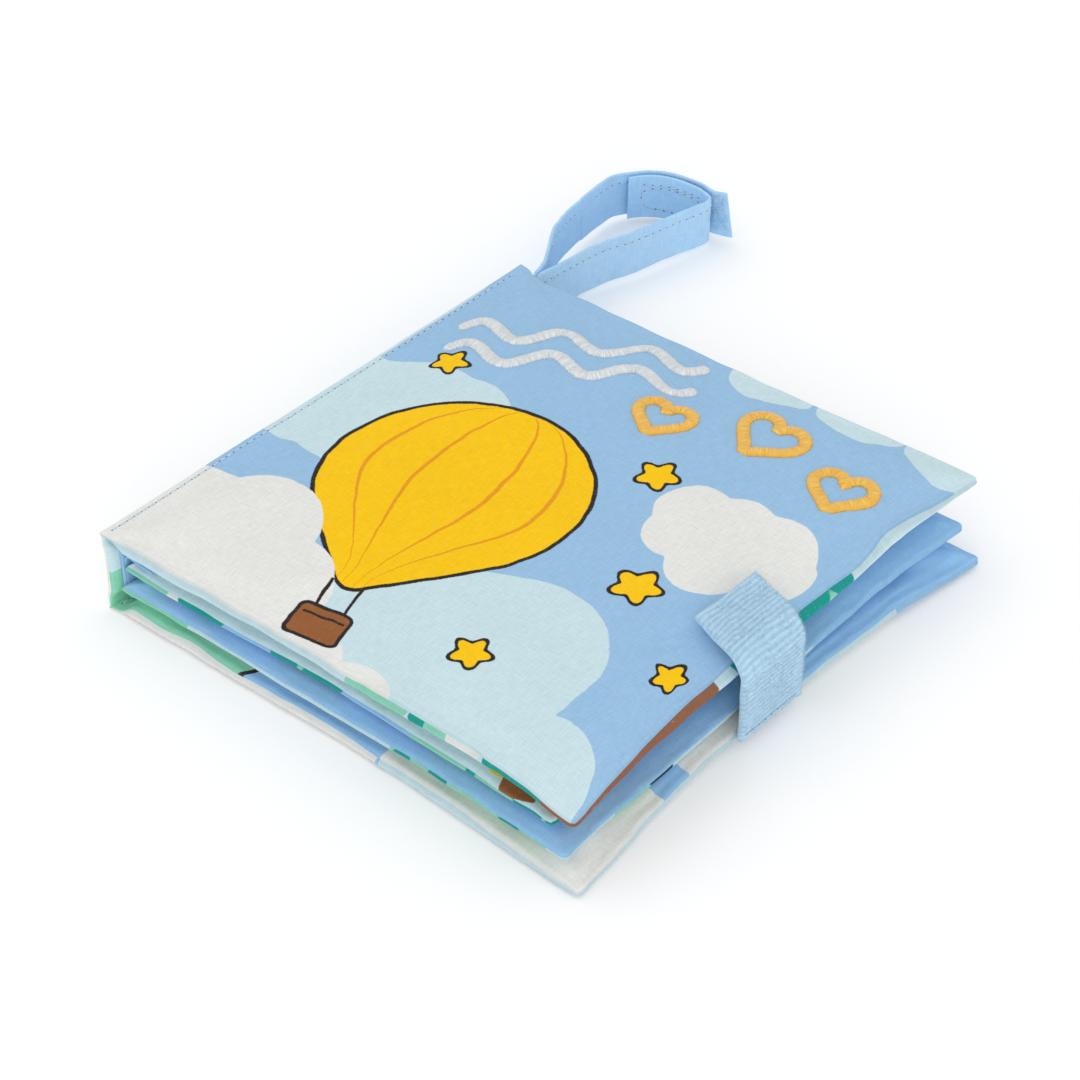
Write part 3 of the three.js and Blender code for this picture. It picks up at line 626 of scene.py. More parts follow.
@dataclass
class Panel:
    """A padded panel of two cloths: the same form as its solids, with puckered seams.

    It starts at x0 and root, rises towards its fore-edge and is slipped along Y. raised says how far
    above the rim's middle its seam runs, at its ends and at the fore-edge.
    """

    name: str
    x0: float
    width: float
    length: float
    slip: float
    thickness: float
    root: float
    rise: float
    phase: float
    raised: tuple
    crown: float
    droop: float
    crease: str = ""
    flat_side: int = 0
    bow: float = 0.0
    draw_fore: float = 2.5
    lift: float = 0.0
    wave: float = 0.0
    corner_drop: float = 0.0

    def __post_init__(self):
        self.half_x, self.half_y = self.width / 2, self.length / 2
        self.x1, self.mid_x = self.x0 + self.width, self.x0 + self.half_x
        self.y0, self.y1 = self.slip - self.half_y, self.slip + self.half_y
        self.seed = round(10 * self.phase)

    def beside_crease(self, x, reach):
        """1 where the hem is flat beside the crease, and 0 past its reach or without a crease."""
        return 1 - smoothstep(x - self.x0, HEM_SET_BACK, HEM_SET_BACK + reach) if self.crease else 0 * x

    def half_thickness(self, x):
        full = self.thickness / 2
        return full + (CLOTH + SEAM_GAP / 2 - full) * self.beside_crease(x, HEM_RAMP)

    def shares(self, x, y):
        return (x - self.mid_x) / self.half_x, (y - self.slip) / self.half_y

    def dome(self, x, y):
        a, b = self.shares(x, y)
        return np.maximum(0, 1 - a * a) * np.maximum(0, 1 - b * b)

    def end_distance(self, y):
        return np.minimum(y - self.y0, self.y1 - y)

    def seam_distance(self, x, y):
        distance = np.minimum(self.x1 - x, self.end_distance(y))
        return distance if self.crease else np.minimum(distance, x - self.x0)

    def rise_at(self, x, y):
        below = 1 - rounded(self.seam_distance(x, y), EDGE_ROUND)
        return 1 - below * (1 - self.beside_crease(x, HEM_BLEND))

    def towards_rims(self, x, y):
        """Unit direction in plan towards the nearest rim, smooth round the corners."""
        to_x = np.exp(-(self.x1 - x) / 2) - (0 if self.crease else np.exp(-(x - self.x0) / 2))
        to_y = np.exp(-(self.y1 - y) / 2) - np.exp(-(y - self.y0) / 2)
        length = np.hypot(to_x, to_y) + 1e-12
        return to_x / length, to_y / length

    def rim(self, x, y, side):
        """Round the padded rim: the share of the half thickness, how far a point moves in, and its turn.

        The two cloths meet above the rim's middle, so the lower cloth shows as a band.
        """
        near = self.beside_crease(x, HEM_BLEND)
        round_off = EDGE_ROUND + (CREASE_ROUND - EDGE_ROUND) * near
        distance = np.minimum(self.seam_distance(x, y), round_off)
        turn = np.arccos(1 - distance / round_off)
        from_end = self.end_distance(y)
        fore = 1 / (1 + np.exp((self.x1 - x - from_end) / 3))
        from_corner = smoothstep(from_end + (self.x1 - x), 5, 44)
        height = (self.raised[0] * (1 - fore) + self.raised[1] * fore) * (0.3 + 0.7 * from_corner)
        height = height * (1 + 0.3 * value_noise(x / 15, y / 15, 71))
        start = np.arcsin(np.clip(height, 0, 0.9)) * (1 - near)
        angle = start + (side * pi / 2 - start) * turn / (pi / 2)
        share = np.sin(angle)
        if self.crease:
            # At the crease both cloths run into the hinge line, on the panel's outside
            outside = 1 if self.crease == "upper" else -1
            share = outside + (share - outside) * rounded(x - self.x0, CREASE_ROUND)
        return share, round_off * (1 - np.cos(angle)) - distance, turn

    def seam_height(self, x, y):
        a, b = self.shares(x, y)
        base = self.root + self.rise * (x - self.x0) / self.width
        base = base + {"upper": -1, "lower": 1, "": 0}[self.crease] * self.half_thickness(x)
        towards_fore = np.maximum(0, (a - LIFT_START) / (1 - LIFT_START))
        pulled = self.lift * towards_fore ** 3 * np.maximum(0, 1 - (b / LIFT_WIDTH) ** 2)
        # Loose cloth waves along the fore-edge, and the near corner hangs
        pulled = pulled + self.wave * np.sin(y / 12 + self.phase) * smoothstep(x, self.x1 - 50, self.x1)
        corner = smoothstep(x, self.x1 - 22, self.x1) * smoothstep(-y, -self.y0 - 36, -self.y0)
        pulled = pulled - self.corner_drop * corner
        return base + self.bow * self.dome(x, y) - self.droop * (1 - self.rise_at(x, y)) + pulled

    def plan(self, x, y):
        in_x, in_y = CORNER_RADIUS - (self.x1 - x), CORNER_RADIUS - self.end_distance(y)
        corner = (in_x > 0) & (in_y > 0)
        scale = np.where(corner, np.maximum(in_x, in_y) / np.maximum(np.hypot(in_x, in_y), 1e-9), 1)
        px = np.where(corner, self.x1 - CORNER_RADIUS + in_x * scale, x)
        sign = np.where(y > self.slip, 1, -1)
        py = np.where(corner, self.slip + sign * (self.half_y - CORNER_RADIUS + in_y * scale), y)
        a, b = self.shares(px, py)
        fore_wave = 0.5 * np.sin(5 * b + self.phase) * np.maximum(0, a) ** 6
        end_wave = 0.5 * np.sin(5 * a + 2 * self.phase) * b ** 6
        out_x = px - (self.draw_fore * np.maximum(0, a) ** 2 - fore_wave) * (1 - b * b)
        out_y = py - (DRAW_ENDS * np.sign(b) * b * b - end_wave) * (1 - a * a)
        return out_x, out_y

    def grid(self, coarse=False):
        seam = COARSE_LINES if coarse else SEAM_LINES
        root = CREASE_LINES if self.crease and not coarse else seam
        step = 6.5 if coarse else 3.4
        lines = []
        for low, high, near_low in ((self.x0, self.x1, root), (self.y0, self.y1, seam)):
            start, end = low + near_low[-1] + step, high - seam[-1] - step
            inner = np.linspace(start, end, max(2, round((end - start) / step) + 1))
            lines.append(np.concatenate([low + near_low, inner, (high - seam)[::-1]]))
        return grid(*lines)

    def face(self, x, y, side, plain=False):
        """Points on the outside of the upper (+1) or lower (-1) cloth."""
        share, inward, turn = self.rim(x, y, side)
        to_x, to_y = self.towards_rims(x, y)
        at_x, at_y = x - inward * to_x, y - inward * to_y
        crown = 0 if self.flat_side == side else self.crown * self.dome(at_x, at_y)
        px, py = self.plan(at_x, at_y)
        z = self.seam_height(at_x, at_y) + (self.half_thickness(at_x) + crown) * share
        if plain:
            return np.stack([px, py, z], -1)
        # The seam is pulled in, and the cloth puckers beside it
        distance = self.seam_distance(x, y)
        along_x = self.x1 - x if self.crease else np.minimum(self.x1 - x, x - self.x0)
        run = np.where(along_x < self.end_distance(y), y, x)
        seed = self.seed + (5 if side > 0 else 9)
        reach = 5 + 5 * (0.5 + 0.5 * value_noise(run / 17, 0 * run, seed + 1))
        pucker = value_noise(run / 4.2, distance / 14, seed)
        pucker = pucker + 0.6 * value_noise(run / 2.3, distance / 9, seed + 2)
        pucker = pucker * np.exp(-distance / reach) * smoothstep(distance, 0, 1.6)
        swell = value_noise(x / 34, y / 34, seed + 3) * smoothstep(distance, 4, 22)
        wobble = SEAM_WOBBLE * value_noise(run / 6, 0 * run, self.seed + 4) * np.exp(-distance / 4)
        out = wobble - SEAM_TUCK * np.exp(-turn / 0.16)
        z = z + side * (PUCKER * pucker + SWELL * swell)
        return np.stack([px + out * to_x, py + out * to_y, z], -1)

    def wrinkles(self):
        """How the two cloths wrinkle when the panel is stuffed, on the coarse grid."""
        x, y = self.grid(coarse=True)
        faces, bottom = pillow_faces(*x.shape)
        points = joined(self.face(x, y, 1, plain=True), self.face(x, y, -1, plain=True))
        points[:, 2] += np.random.default_rng(31).uniform(-0.15, 0.15, len(points))
        pad = make_piece(self.name + "_stuffed", points, faces, [], askew=False)
        modifier = pad.modifiers.new("Cloth", "CLOTH")
        for key, value in STUFFING.items():
            setattr(modifier.settings, key, value)
        modifier.settings.effector_weights.gravity = 0
        if self.crease:
            pad.vertex_groups.new(name="held").add(list(range(x.shape[1])), 1.0, "ADD")
            modifier.settings.vertex_group_mass = "held"
        modifier.collision_settings.use_collision = False
        modifier.point_cache.frame_end = STUFFING_FRAMES
        for number in range(1, STUFFING_FRAMES + 1):
            bpy.context.scene.frame_set(number)
        swollen = pad.evaluated_get(bpy.context.evaluated_depsgraph_get()).to_mesh()
        moved = np.empty(len(points) * 3)
        swollen.vertices.foreach_get("co", moved)
        moved = moved.reshape(-1, 3) / MM - points
        bpy.context.scene.frame_set(1)
        bpy.data.objects.remove(pad)
        fields = []
        for numbers in (np.arange(x.size).reshape(x.shape), bottom):
            smooth = moved[numbers]
            for _ in range(14):
                wide = np.pad(smooth, ((1, 1), (1, 1), (0, 0)), mode="edge")
                smooth = (wide[:-2, 1:-1] + wide[2:, 1:-1] + wide[1:-1, :-2] + wide[1:-1, 2:]) / 4
            fields.append(moved[numbers] - smooth)
        return x[:, 0], y[0], fields

    def build(self, top_art, low_art, level):
        x, y = self.grid()
        sides = [self.face(x, y, 1), self.face(x, y, -1)]
        distance = self.seam_distance(x, y)
        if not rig.quick():
            xs, ys, fields = self.wrinkles()
            inside = smoothstep(distance, 0, 2.5) * smoothstep(x - self.x0, 0, 12 if self.crease else 2.5)
            for points, field in zip(sides, fields):
                capped = np.clip(field, -WRINKLE_LIMIT, WRINKLE_LIMIT) * level
                points += spread(xs, ys, capped, x, y) * inside[..., None]
        for points, side in zip(sides, (1, -1)):
            if self.flat_side == side:
                points[..., 2] = np.maximum(points[..., 2], 0)  # it rests on the floor
        # The print runs on round the rim
        around = 0.9 * np.exp(-distance / 1.2)
        fore = (self.x1 - x) < self.end_distance(y)
        places = np.stack([x + around * fore, y + around * np.sign(y - self.slip) * ~fore], -1)
        seams = np.clip(distance / 2, 0, 1)
        materials = [cloth(self.name + "_top", top_art), cloth(self.name + "_under", low_art)]
        piece = pillow(self.name + "_pad", sides, places, materials, (seams, seams))
        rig.padded(piece, fill=0.35)
        return piece


def spread(xs, ys, field, x, y):
    """Values of a field on lines xs and ys at the points x, y."""
    i = np.clip(np.searchsorted(xs, x) - 1, 0, len(xs) - 2)
    j = np.clip(np.searchsorted(ys, y) - 1, 0, len(ys) - 2)
    s = smoothstep(x, xs[i], xs[i + 1])[..., None]
    t = smoothstep(y, ys[j], ys[j + 1])[..., None]
    low = field[i, j] * (1 - s) + field[i + 1, j] * s
    high = field[i, j + 1] * (1 - s) + field[i + 1, j + 1] * s
    return low * (1 - t) + high * t


def leaf(name, height, width, length, slip, rise, bow, phase, raised):
    """A leaf whose root stands clear of the gutter at its height up the leaning spine."""
    inside = SPINE_CAVITY + 2 * CLOTH + SEAM_GAP + GUTTER_THICKNESS + SEAM_GAP
    x0 = BACK_CREASE_X - height * tan(LEAN) + inside / cos(LEAN)
    return Panel(name, x0, width, length, slip, thickness=4.8, root=height, rise=rise, phase=phase,
                 raised=raised, crown=0.25, droop=0.3, bow=bow, wave=0.6)


back_cover = Panel("back_cover", BACK_CREASE_X, COVER_WIDTH, BOOK_LENGTH, 0, thickness=5.6, root=0,
                   rise=0, phase=0.4, raised=(0.5, 0.3), crown=0.5, droop=1.3, crease="lower",
                   flat_side=-1, draw_fore=6.6, lift=2)
front_cover = Panel("front_cover", FRONT_CREASE_X, COVER_WIDTH, BOOK_LENGTH, COVER_SLIP_Y, thickness=6,
                    root=SPINE_HEIGHT, rise=4.6, phase=1.7, raised=(0.45, 0.68), crown=0.4, droop=0.8,
                    crease="upper", bow=2.1, wave=0.4, corner_drop=3)
leaf_2 = leaf("leaf_2", 8.6, 180, 195.5, 1, 1.6, 0.85, 2.9, (0.25, 0.15))
leaf_1 = leaf("leaf_1", 14, 174, 193, 3, 3, 1.45, 4.1, (0.3, 0.6))


# Printed forms, each a function of a net and a place
def box(x, y, half_x, half_y, degrees=0, radius=1.0):
    c, s = cos(radians(degrees)), sin(radians(degrees))

    def distance(net, place):
        along = abs(net.side(place, (c, s), c * x + s * y)) - (half_x - radius)
        across = abs(net.side(place, (-s, c), -s * x + c * y)) - (half_y - radius)
        past = [net.math("MAXIMUM", value, 0.0) ** 2.0 for value in (along, across)]
        return net.math("SQRT", past[0] + past[1]) - radius
    return distance


def star(x, y, radius):
    def distance(net, place):
        angle = net.math("ARCTAN2", *net.split(net.vector("SUBTRACT", place, (x, y, 0))))
        points = net.math("COSINE", angle * 5.0) * (0.17 * radius)
        return net.circle(place, x, y, 0.83 * radius) - points
    return distance


def printed(base, *rows):
    """A print of layers over a base colour."""
    return lambda net, place: net.layers(place, base, *rows)


# Prints of each face
def cover_art(net, place):
    colour = net.layers(
        place, SKY,
        (AQUA, [(-75, 8, 32), (-98, 4, 27), (-60, 20, 20)]),
        (AQUA, [(30, -55, 30), (24, -64, 36), (-4, -76, 28), (64, -92, 24)]),
        (AQUA, [(10, 107, 17), (45, 108, 17), (80, 106, 18), (96, 104, 14)]))
    colour, at = balloon(net, place, colour)
    stars = [(13, 36, 7.5), (42, -10, 8.5), (-79, 42, 7), (24, -64, 7), (76, -34, 6.5)]
    colour = net.layers(
        place, colour,
        (WHITE, [(-92, -72, 25), (-70, -62, 24), (-48, -78, 22), (-20, -100, 16), (4, -104, 15),
                 (-76, -90, 24), (-50, -98, 20), (-104, -84, 20)]),
        (WHITE, [(33, 29, 13), (47, 31, 14), (62, 30, 16), (72, 24, 12), (52, 12, 14), (36, 18, 12)]),
        *((YELLOW, star(*row), OUTLINE) for row in stars))
    return net.layers(at, colour, (INK, ropes), (BROWN, box(0, 77, 9.5, 7.5, radius=2.6), OUTLINE),
                      (INK, box(0, 73.2, 7.6, 0.5, radius=0.4)))


def balloon(net, place, under):
    """The envelope of a hot-air balloon, with gores, and places along its own axis."""
    tilt = radians(8)
    c, s = cos(tilt), sin(tilt)
    centre_x, centre_y, big, small, length = -33, -8, 44.0, 7.0, 52.0
    across = net.side(place, (c, s), c * centre_x + s * centre_y)
    down = net.side(place, (s, -c), s * centre_x - c * centre_y)
    at = net.add("CombineXYZ", {"X": across, "Y": down})
    width = abs(across)
    # The flanks are straight from the round top to the round mouth
    slope = (big - small) / length
    rest = sqrt(1 - slope * slope)
    near = down * rest - width * slope
    flank = width * rest + down * slope - big
    side = net.choose(net.math("GREATER_THAN", near, 0.0), net.circle(at, 0, 0, big), flank)
    mouth = net.math("GREATER_THAN", near, rest * length)
    envelope = net.choose(mouth, side, net.circle(at, 0, length, small))
    # Gores: lines that run from the crown to the mouth
    crown = net.math("SQRT", net.math("MAXIMUM", big * big - net.math("MINIMUM", down, 0.0) ** 2.0, 0.0))
    half_width = net.math("MAXIMUM", crown - net.between(down, 0.0, length * 1.08, 0.0, big - small), 3.0)
    gores = [abs(width / half_width - share) for share in (0.30, 0.70)]
    line = net.math("MINIMUM", *gores) * 36.0 - 0.6
    colour = net.paint(under, envelope, YELLOW)
    colour = net.paint(colour, net.math("MAXIMUM", line, envelope), AMBER)
    return net.paint(colour, abs(envelope) - 0.75, INK), at


def ropes(net, at):
    """Two ropes between the balloon's mouth and its basket."""
    across, down = net.split(at)
    return net.math("MAXIMUM", abs(abs(across) - 5.4) - 0.6, abs(down - 64.0) - 7.0)


def hill(net, place):
    return net.puffs(place, [(-70, -84, 34), (-88, -20, 60), (-60, 40, 50)], 8)


# A leafy meadow at the fore-edge and an earth-brown bank at the near corner
front_inner_art = printed(
    AQUA,
    (GREEN, [(112, 11.5, 36.8), (70, -106, 20), (28, -97, 3.6)]),
    (MINT, [(12, -104, 15), (35.5, -98, 5.5)]),
    (WHITE, [(46, -101, 8.6), (93, 14, 2.6)]),
    (MINT, [(95, 8, 4), (94, 22, 3.4), (88, 30, 2)]),
    (BROWN, [(112, -66, 45.8), (84, -99, 9)]),
    (AQUA, [(96, -23.5, 3)]),
    (WHITE, [(-30, 50, 18), (-12, 54, 14), (-48, 54, 12)]),
    (YELLOW, [(10, 20, 17)], OUTLINE))
leaf_1_upper_art = printed(
    DEEP_SKY,
    (AQUA, [(-80, -100, 42), (-30, -104, 44), (26, -104, 44), (64, -98, 22)]),
    (YELLOW, [(55, -85.5, 5.5)]),
    (BROWN, box(64, -89.5, 6, 5, 20)),
    (WHITE, [(-40, 40, 20), (-18, 46, 17), (-60, 48, 14)]),
    (YELLOW, star(30, 20, 15), OUTLINE))
leaf_1_lower_art = printed(
    DEEP_SKY,
    (MINT, [(-90, -94, 15), (45, -106, 23.5), (70, -104, 13)]),
    (WHITE, [(-72.5, -94, 2.6), (89, 8, 11), (88, 24, 11), (89, 38, 10)]),
    (GREEN, [(-61, -103, 13), (-18, -104, 17.5), (48.4, -94, 1.8), (70.5, -97, 6), (82, -94, 4.5)]),
    (MINT, [(-20.4, -95, 1.5)]),
    (AQUA, [(0, 10, 24), (22, 16, 18), (-24, 4, 16)]))
leaf_2_upper_art = printed(
    DEEP_SKY,
    (WHITE, [(10, 20, 20), (32, 26, 16), (-14, 14, 14)]),
    (YELLOW, [(-40, 50, 15)], OUTLINE))
leaf_2_lower_art = printed(
    AQUA,
    (MINT, [(-84, -96, 20), (50, -118, 37), (98, -62, 14)]),
    (GREEN, [(24, -95, 4), (38, -96.5, 4), (66, -96.5, 4)]),
    (INK, [(93, -51, 6.5)]),
    (DEEP_SKY, [(104, 60, 40), (60, 110, 30)]),
    (GREEN, [(-30, 10, 22), (-8, 4, 16), (-52, 2, 16)]))
# A meadow by the spine, a pond of sky and white cloud towards the near corner
back_inner_art = printed(
    DEEP_SKY,
    (WHITE, [(66, -84, 34), (40, -101, 24), (96, -78, 30), (94, -16, 22), (92, -38, 8)]),
    (DEEP_SKY, box(90, -48, 14, 6.5, 0, 3)),
    (MINT, hill, 0.85))
back_outer_art = printed(
    SKY,
    (WHITE, [(-80, -100, 34), (-40, -108, 34), (-8, -106, 24)]),
    (AQUA, [(50, -104, 34), (90, -96, 40), (100, -40, 36), (104, 20, 40), (-60, 60, 30), (-30, 78, 24)]))
spine_outer_art = printed(SKY, (AQUA, [(-112, 5, 32)]), (WHITE, [(-108, -72, 30), (-112, -100, 24)]))


def spine_inner_art(net, place):
    return net.paint(MINT, net.side(place, (-1, 0), 12.5 - FRONT_CREASE_X), AQUA)


def plain_art(colour, other, scale, share):
    """One colour with soft patches of another."""
    return lambda net, place: net.tinge(colour, other, net.noise(place, scale), 0.35, 0.65, 0, share)


pads = {}
for panel, arts, parts, level in (
        (front_cover, (cover_art, front_inner_art), ("outer_cloth", "inner_cloth", "wadding"), 1.0),
        (back_cover, (back_inner_art, back_outer_art), ("outer_cloth", "inner_cloth", "wadding"), 1.0),
        (leaf_1, (leaf_1_upper_art, leaf_1_lower_art),
         ("upper_cloth", "lower_cloth", "wadding", "crinkle_film"), 0.5),
        (leaf_2, (leaf_2_upper_art, leaf_2_lower_art),
         ("upper_cloth", "lower_cloth", "wadding", "crinkle_film"), 0.5)):
    pads[panel.name] = panel.build(*arts, level)
    attach(pads[panel.name], panel.name, "printed_cotton", *(f"{panel.name}_{part}" for part in parts))


# Thread laid on the cloth: satin embroidery and running stitches
DROP_FROM = 40
SATIN_HEIGHT = 1.2
SATIN_SPACING = 0.42
SATIN_SUNK = 0.12
SATIN_BASE = 0.35
ABOVE_COVER = 30
STITCH_SHARES = np.array([0, 0.14, 0.5, 0.86, 1])
STITCH_TAPER = np.array([0.35, 0.85, 1, 0.85, 0.35])
STITCH_LIFT = np.array([-0.14, 0.04, 0.1, 0.04, -0.14])
# A darker tube of painted shade lies in each gap between stitches: how much wider it is, and how deep it sits
GAP_SHADE_WIDER = 1.15
GAP_SHADE_LIFT = -0.13


def surface_of(piece):
    """Search tree of a piece's finished surface, in metres."""
    made = piece.evaluated_get(bpy.context.evaluated_depsgraph_get())
    mesh = made.to_mesh()
    points = [made.matrix_world @ v.co for v in mesh.vertices]
    tree = BVHTree.FromPolygons(points, [tuple(p.vertices) for p in mesh.polygons])
    made.to_mesh_clear()
    return tree


def drop_on(tree, points, up=(0, 0, 1)):
    """Points in mm moved onto the surface along -up, with the surface's directions there."""
    at, normals = [], []
    for point in points:
        start = (Vector(point) + DROP_FROM * Vector(up)) * MM
        place, normal, *_ = tree.ray_cast(start, -Vector(up))
        if place is None:
            place, normal, *_ = tree.find_nearest(Vector(point) * MM)
        at.append(place / MM)
        normals.append(normal)
    return np.array(at), np.array(normals)


def satin(name, tree, strokes, width, material, seed):
    """Raised satin stitching on the front cover: threads lie across each stroke."""
    random = np.random.default_rng(seed)
    tracks, sections = [], []
    for stroke in strokes:
        run = run_of(stroke)
        even = np.arange(0, run[-1], SATIN_SPACING)
        plan = at_run(stroke, run, even)
        sideways = left_of(plan)
        taper = np.maximum(rounded(np.minimum(even, even[-1] - even), width / 2), sqrt(0.02))
        half = width / 2 * taper * (1 + random.uniform(-0.07, 0.07, len(even)))
        tall = SATIN_HEIGHT * taper * (1 + random.uniform(-0.10, 0.10, len(even)))
        beside = lambda share: plan + sideways * (half * share)[:, None]
        base, left, right = (drop_on(tree, np.insert(beside(share), 2, ABOVE_COVER, 1))[0][:, 2]
                             for share in (0, 1, -1))
        rings = []
        for angle in np.linspace(0, pi, 9):
            share = cos(angle)
            ground = base + ((left if share > 0 else right) - base) * abs(share)
            high = ground - SATIN_SUNK + tall * sin(angle) ** 0.8
            rings.append(np.column_stack([beside(share), high]))
        rings.append(np.column_stack([plan, base - SATIN_BASE]))
        tracks.append(np.stack(rings, 1)[:, ::-1])
        sections.append(np.stack(grid(even, np.linspace(0, width, len(rings))), -1))
    attach(tubes(name, tracks, [material], sections), "front_cover", "printed_cotton")


def wavy_line(start, end, swing, waves):
    t = np.linspace(0, 1, 120)[:, None]
    start, end = np.array(start), np.array(end)
    sideways = np.array([-(end - start)[1], (end - start)[0]]) / np.linalg.norm(end - start)
    return start + t * (end - start) + swing * np.sin(2 * pi * waves * t) * sideways


def heart(x, y, size, degrees):
    t = np.linspace(pi, 3 * pi, 160)
    hx = 16 * np.sin(t) ** 3
    hy = 13 * np.cos(t) - 5 * np.cos(2 * t) - 2 * np.cos(3 * t) - np.cos(4 * t)
    c, s = cos(radians(degrees)), sin(radians(degrees))
    return np.stack([x + size / 32 * (c * hx - s * hy), y + size / 32 * (s * hx + c * hy)], -1)


cover_top = surface_of(pads["front_cover"])
silver = thread("silver_thread", tint(252, 252, 251), tint(204, 211, 216), 0.42, width=5.0)
gold = thread("gold_thread", tint(255, 220, 106), tint(242, 168, 42), 0.36, width=4.5)
waves = [wavy_line((-92, 60), (-12, 94), 4.6, 3), wavy_line((-87, 47), (-7, 81), 4.6, 3)]
hearts = [heart(-5, 60, 19, 6), heart(28, 73, 23, -8), heart(62, 65, 20, 10)]
satin("wave_embroidery", cover_top, waves, 5.0, silver, 3)
satin("heart_embroidery", cover_top, hearts, 4.5, gold, 4)
stitch_materials = [
    thread("stitch_thread", tint(226, 240, 248), tint(186, 212, 230), 0.6, (0.6, 5.0, 1)),
    # Dark tubes of painted shade, sunk in the gaps between stitches
    thread("stitch_hole", tint(96, 142, 178), tint(62, 104, 140), 0.9, (2.0, 2.0, 1)),
]


def stitches(name, runs, length=2.2, gap=0.9, width=0.62, askew=False):
    """Running stitches: each run is a line of points on the cloth and the directions out of it."""
    tracks, sections = [], []
    angles = np.linspace(0, 2 * pi, 7)[:-1]
    for line, normals in runs:
        run = run_of(line)
        for start in np.arange(gap, run[-1] - length - gap / 2, length + gap):
            # Each stitch, and before it a darker tube of painted shade sunk in the gap
            for spots, taper, lift in (
                    (start + STITCH_SHARES * length, STITCH_TAPER, STITCH_LIFT),
                    (start - gap * (1 - STITCH_SHARES), GAP_SHADE_WIDER * STITCH_TAPER, GAP_SHADE_LIFT)):
                middle, out = at_run(line, run, spots), unit(at_run(normals, run, spots))
                beside = np.cross(out, unit(np.gradient(middle, axis=0)))
                ring = [middle + beside * (taper * width / 2 * cos(t))[:, None]
                        + out * (taper * width / 3 * sin(t) + lift)[:, None] for t in angles]
                tracks.append(np.stack(ring, 1))
                sections.append(np.stack(grid(spots, angles * width / 2), -1))
    kinds = np.tile([0, 1], len(tracks) // 2)
    return tubes(name, tracks, stitch_materials, sections, kinds, askew)


for name, panel, crease_x, height in (
        ("front_crease_stitches", front_cover, FRONT_CREASE_X + 2.1, SPINE_HEIGHT),
        ("back_crease_stitches", back_cover, BACK_CREASE_X + 2.6, 0)):
    crease_y = np.linspace(panel.y0 + 3, panel.y1 - 3, 160)
    line = np.stack([0 * crease_y + crease_x, crease_y, 0 * crease_y + height], -1)
    attach(stitches(name, [drop_on(surface_of(pads[panel.name]), line)]), panel.name, "printed_cotton")


# Spine: a narrow pad between the two creases, slipped along Y with its height
SPINE_BULGE = 0.6
SPINE_END_LINES = np.array([0, 0.12, 0.4, 0.85, 1.5, 2.6, 4.2, 6.5, 9.5])
SPINE_CREASE_LINES = np.array([0, 0.3, 0.8, 1.5, 2.4, 3.5, 4.6, 6, 8, 10.2])


def spine_xz(up, depth):
    """Place in X and Z so far up the leaning spine, and so deep into the book from its outside."""
    return (BACK_CREASE_X - up * sin(LEAN) + depth * cos(LEAN),
            up * cos(LEAN) + depth * sin(LEAN))


def slipped(x, y, z):
    return np.stack([x, y + COVER_SLIP_Y * z / SPINE_HEIGHT, z], -1)


def on_spine(up, depth, y):
    x, z = spine_xz(up, depth)
    return slipped(x, y, z)


def spine_pad():
    up, y = grid(close_at_ends(0, SPINE_LENGTH, SPINE_CREASE_LINES),
                 close_at_ends(-HALF_BOOK, HALF_BOOK, SPINE_END_LINES, np.linspace(-86, 86, 44)))
    from_crease = np.minimum(up, SPINE_LENGTH - up)
    from_end = HALF_BOOK - np.abs(y)
    bulge = -4 * SPINE_BULGE * (up / SPINE_LENGTH) * (1 - up / SPINE_LENGTH)
    deep = 2 * CLOTH + SEAM_GAP + (SPINE_CAVITY - SEAM_GAP) * smoothstep(from_crease, 3.5, 5.5)
    middle, half = (bulge + deep) / 2, (deep - bulge) / 2
    at_crease = rounded(from_crease, 1.2)
    at_end = rounded(from_end, 1.2 + 2.8 * smoothstep(from_crease, 3.5, 8))
    pucker = value_noise(y / 4.5, up / 9, 61) * np.exp(-from_crease / 4) * 0.22
    swell = value_noise(y / 21, up / 14, 62) * 0.2 * smoothstep(from_crease, 1, 6)
    tuck = 0.5 * np.exp(-half * at_end * at_crease / 0.3) * np.clip(1 - from_end / 2, 0, 1) * np.sign(y)
    outer = on_spine(up, middle - (half + (pucker + swell) * at_crease) * at_end, y - tuck)
    inner = on_spine(up, middle + half * at_end * (2 * at_crease - 1), y - tuck)
    places = np.stack([FRONT_CREASE_X - SPINE_LENGTH + up, y], -1)
    materials = [cloth("spine_inside", spine_inner_art), cloth("spine_outside", spine_outer_art)]
    piece = pillow("spine_pad", (inner, outer), places, materials)
    attach(piece, "spine", "sky_cotton", "spine_outer_cloth", "spine_inner_cloth", "spine_wadding")
    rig.padded(piece, fill=0.3)
    return piece


spine_tree = surface_of(spine_pad())
outwards = (-cos(LEAN), 0, -sin(LEAN))
spine_y = np.linspace(back_cover.y0 + 3, back_cover.y1 - 3, 160)
spine_lines = [drop_on(spine_tree, on_spine(up + 0 * spine_y, -1, spine_y), outwards)
               for up in (2.3, SPINE_LENGTH - 2.3)]
attach(stitches("spine_stitches", spine_lines), "spine", "sky_cotton")


# The folio's gutter, a cloth strip inside the spine, and the strips that join it to each leaf
STRIP_SPACING = 0.8
STRIP_RIPPLE = 0.12


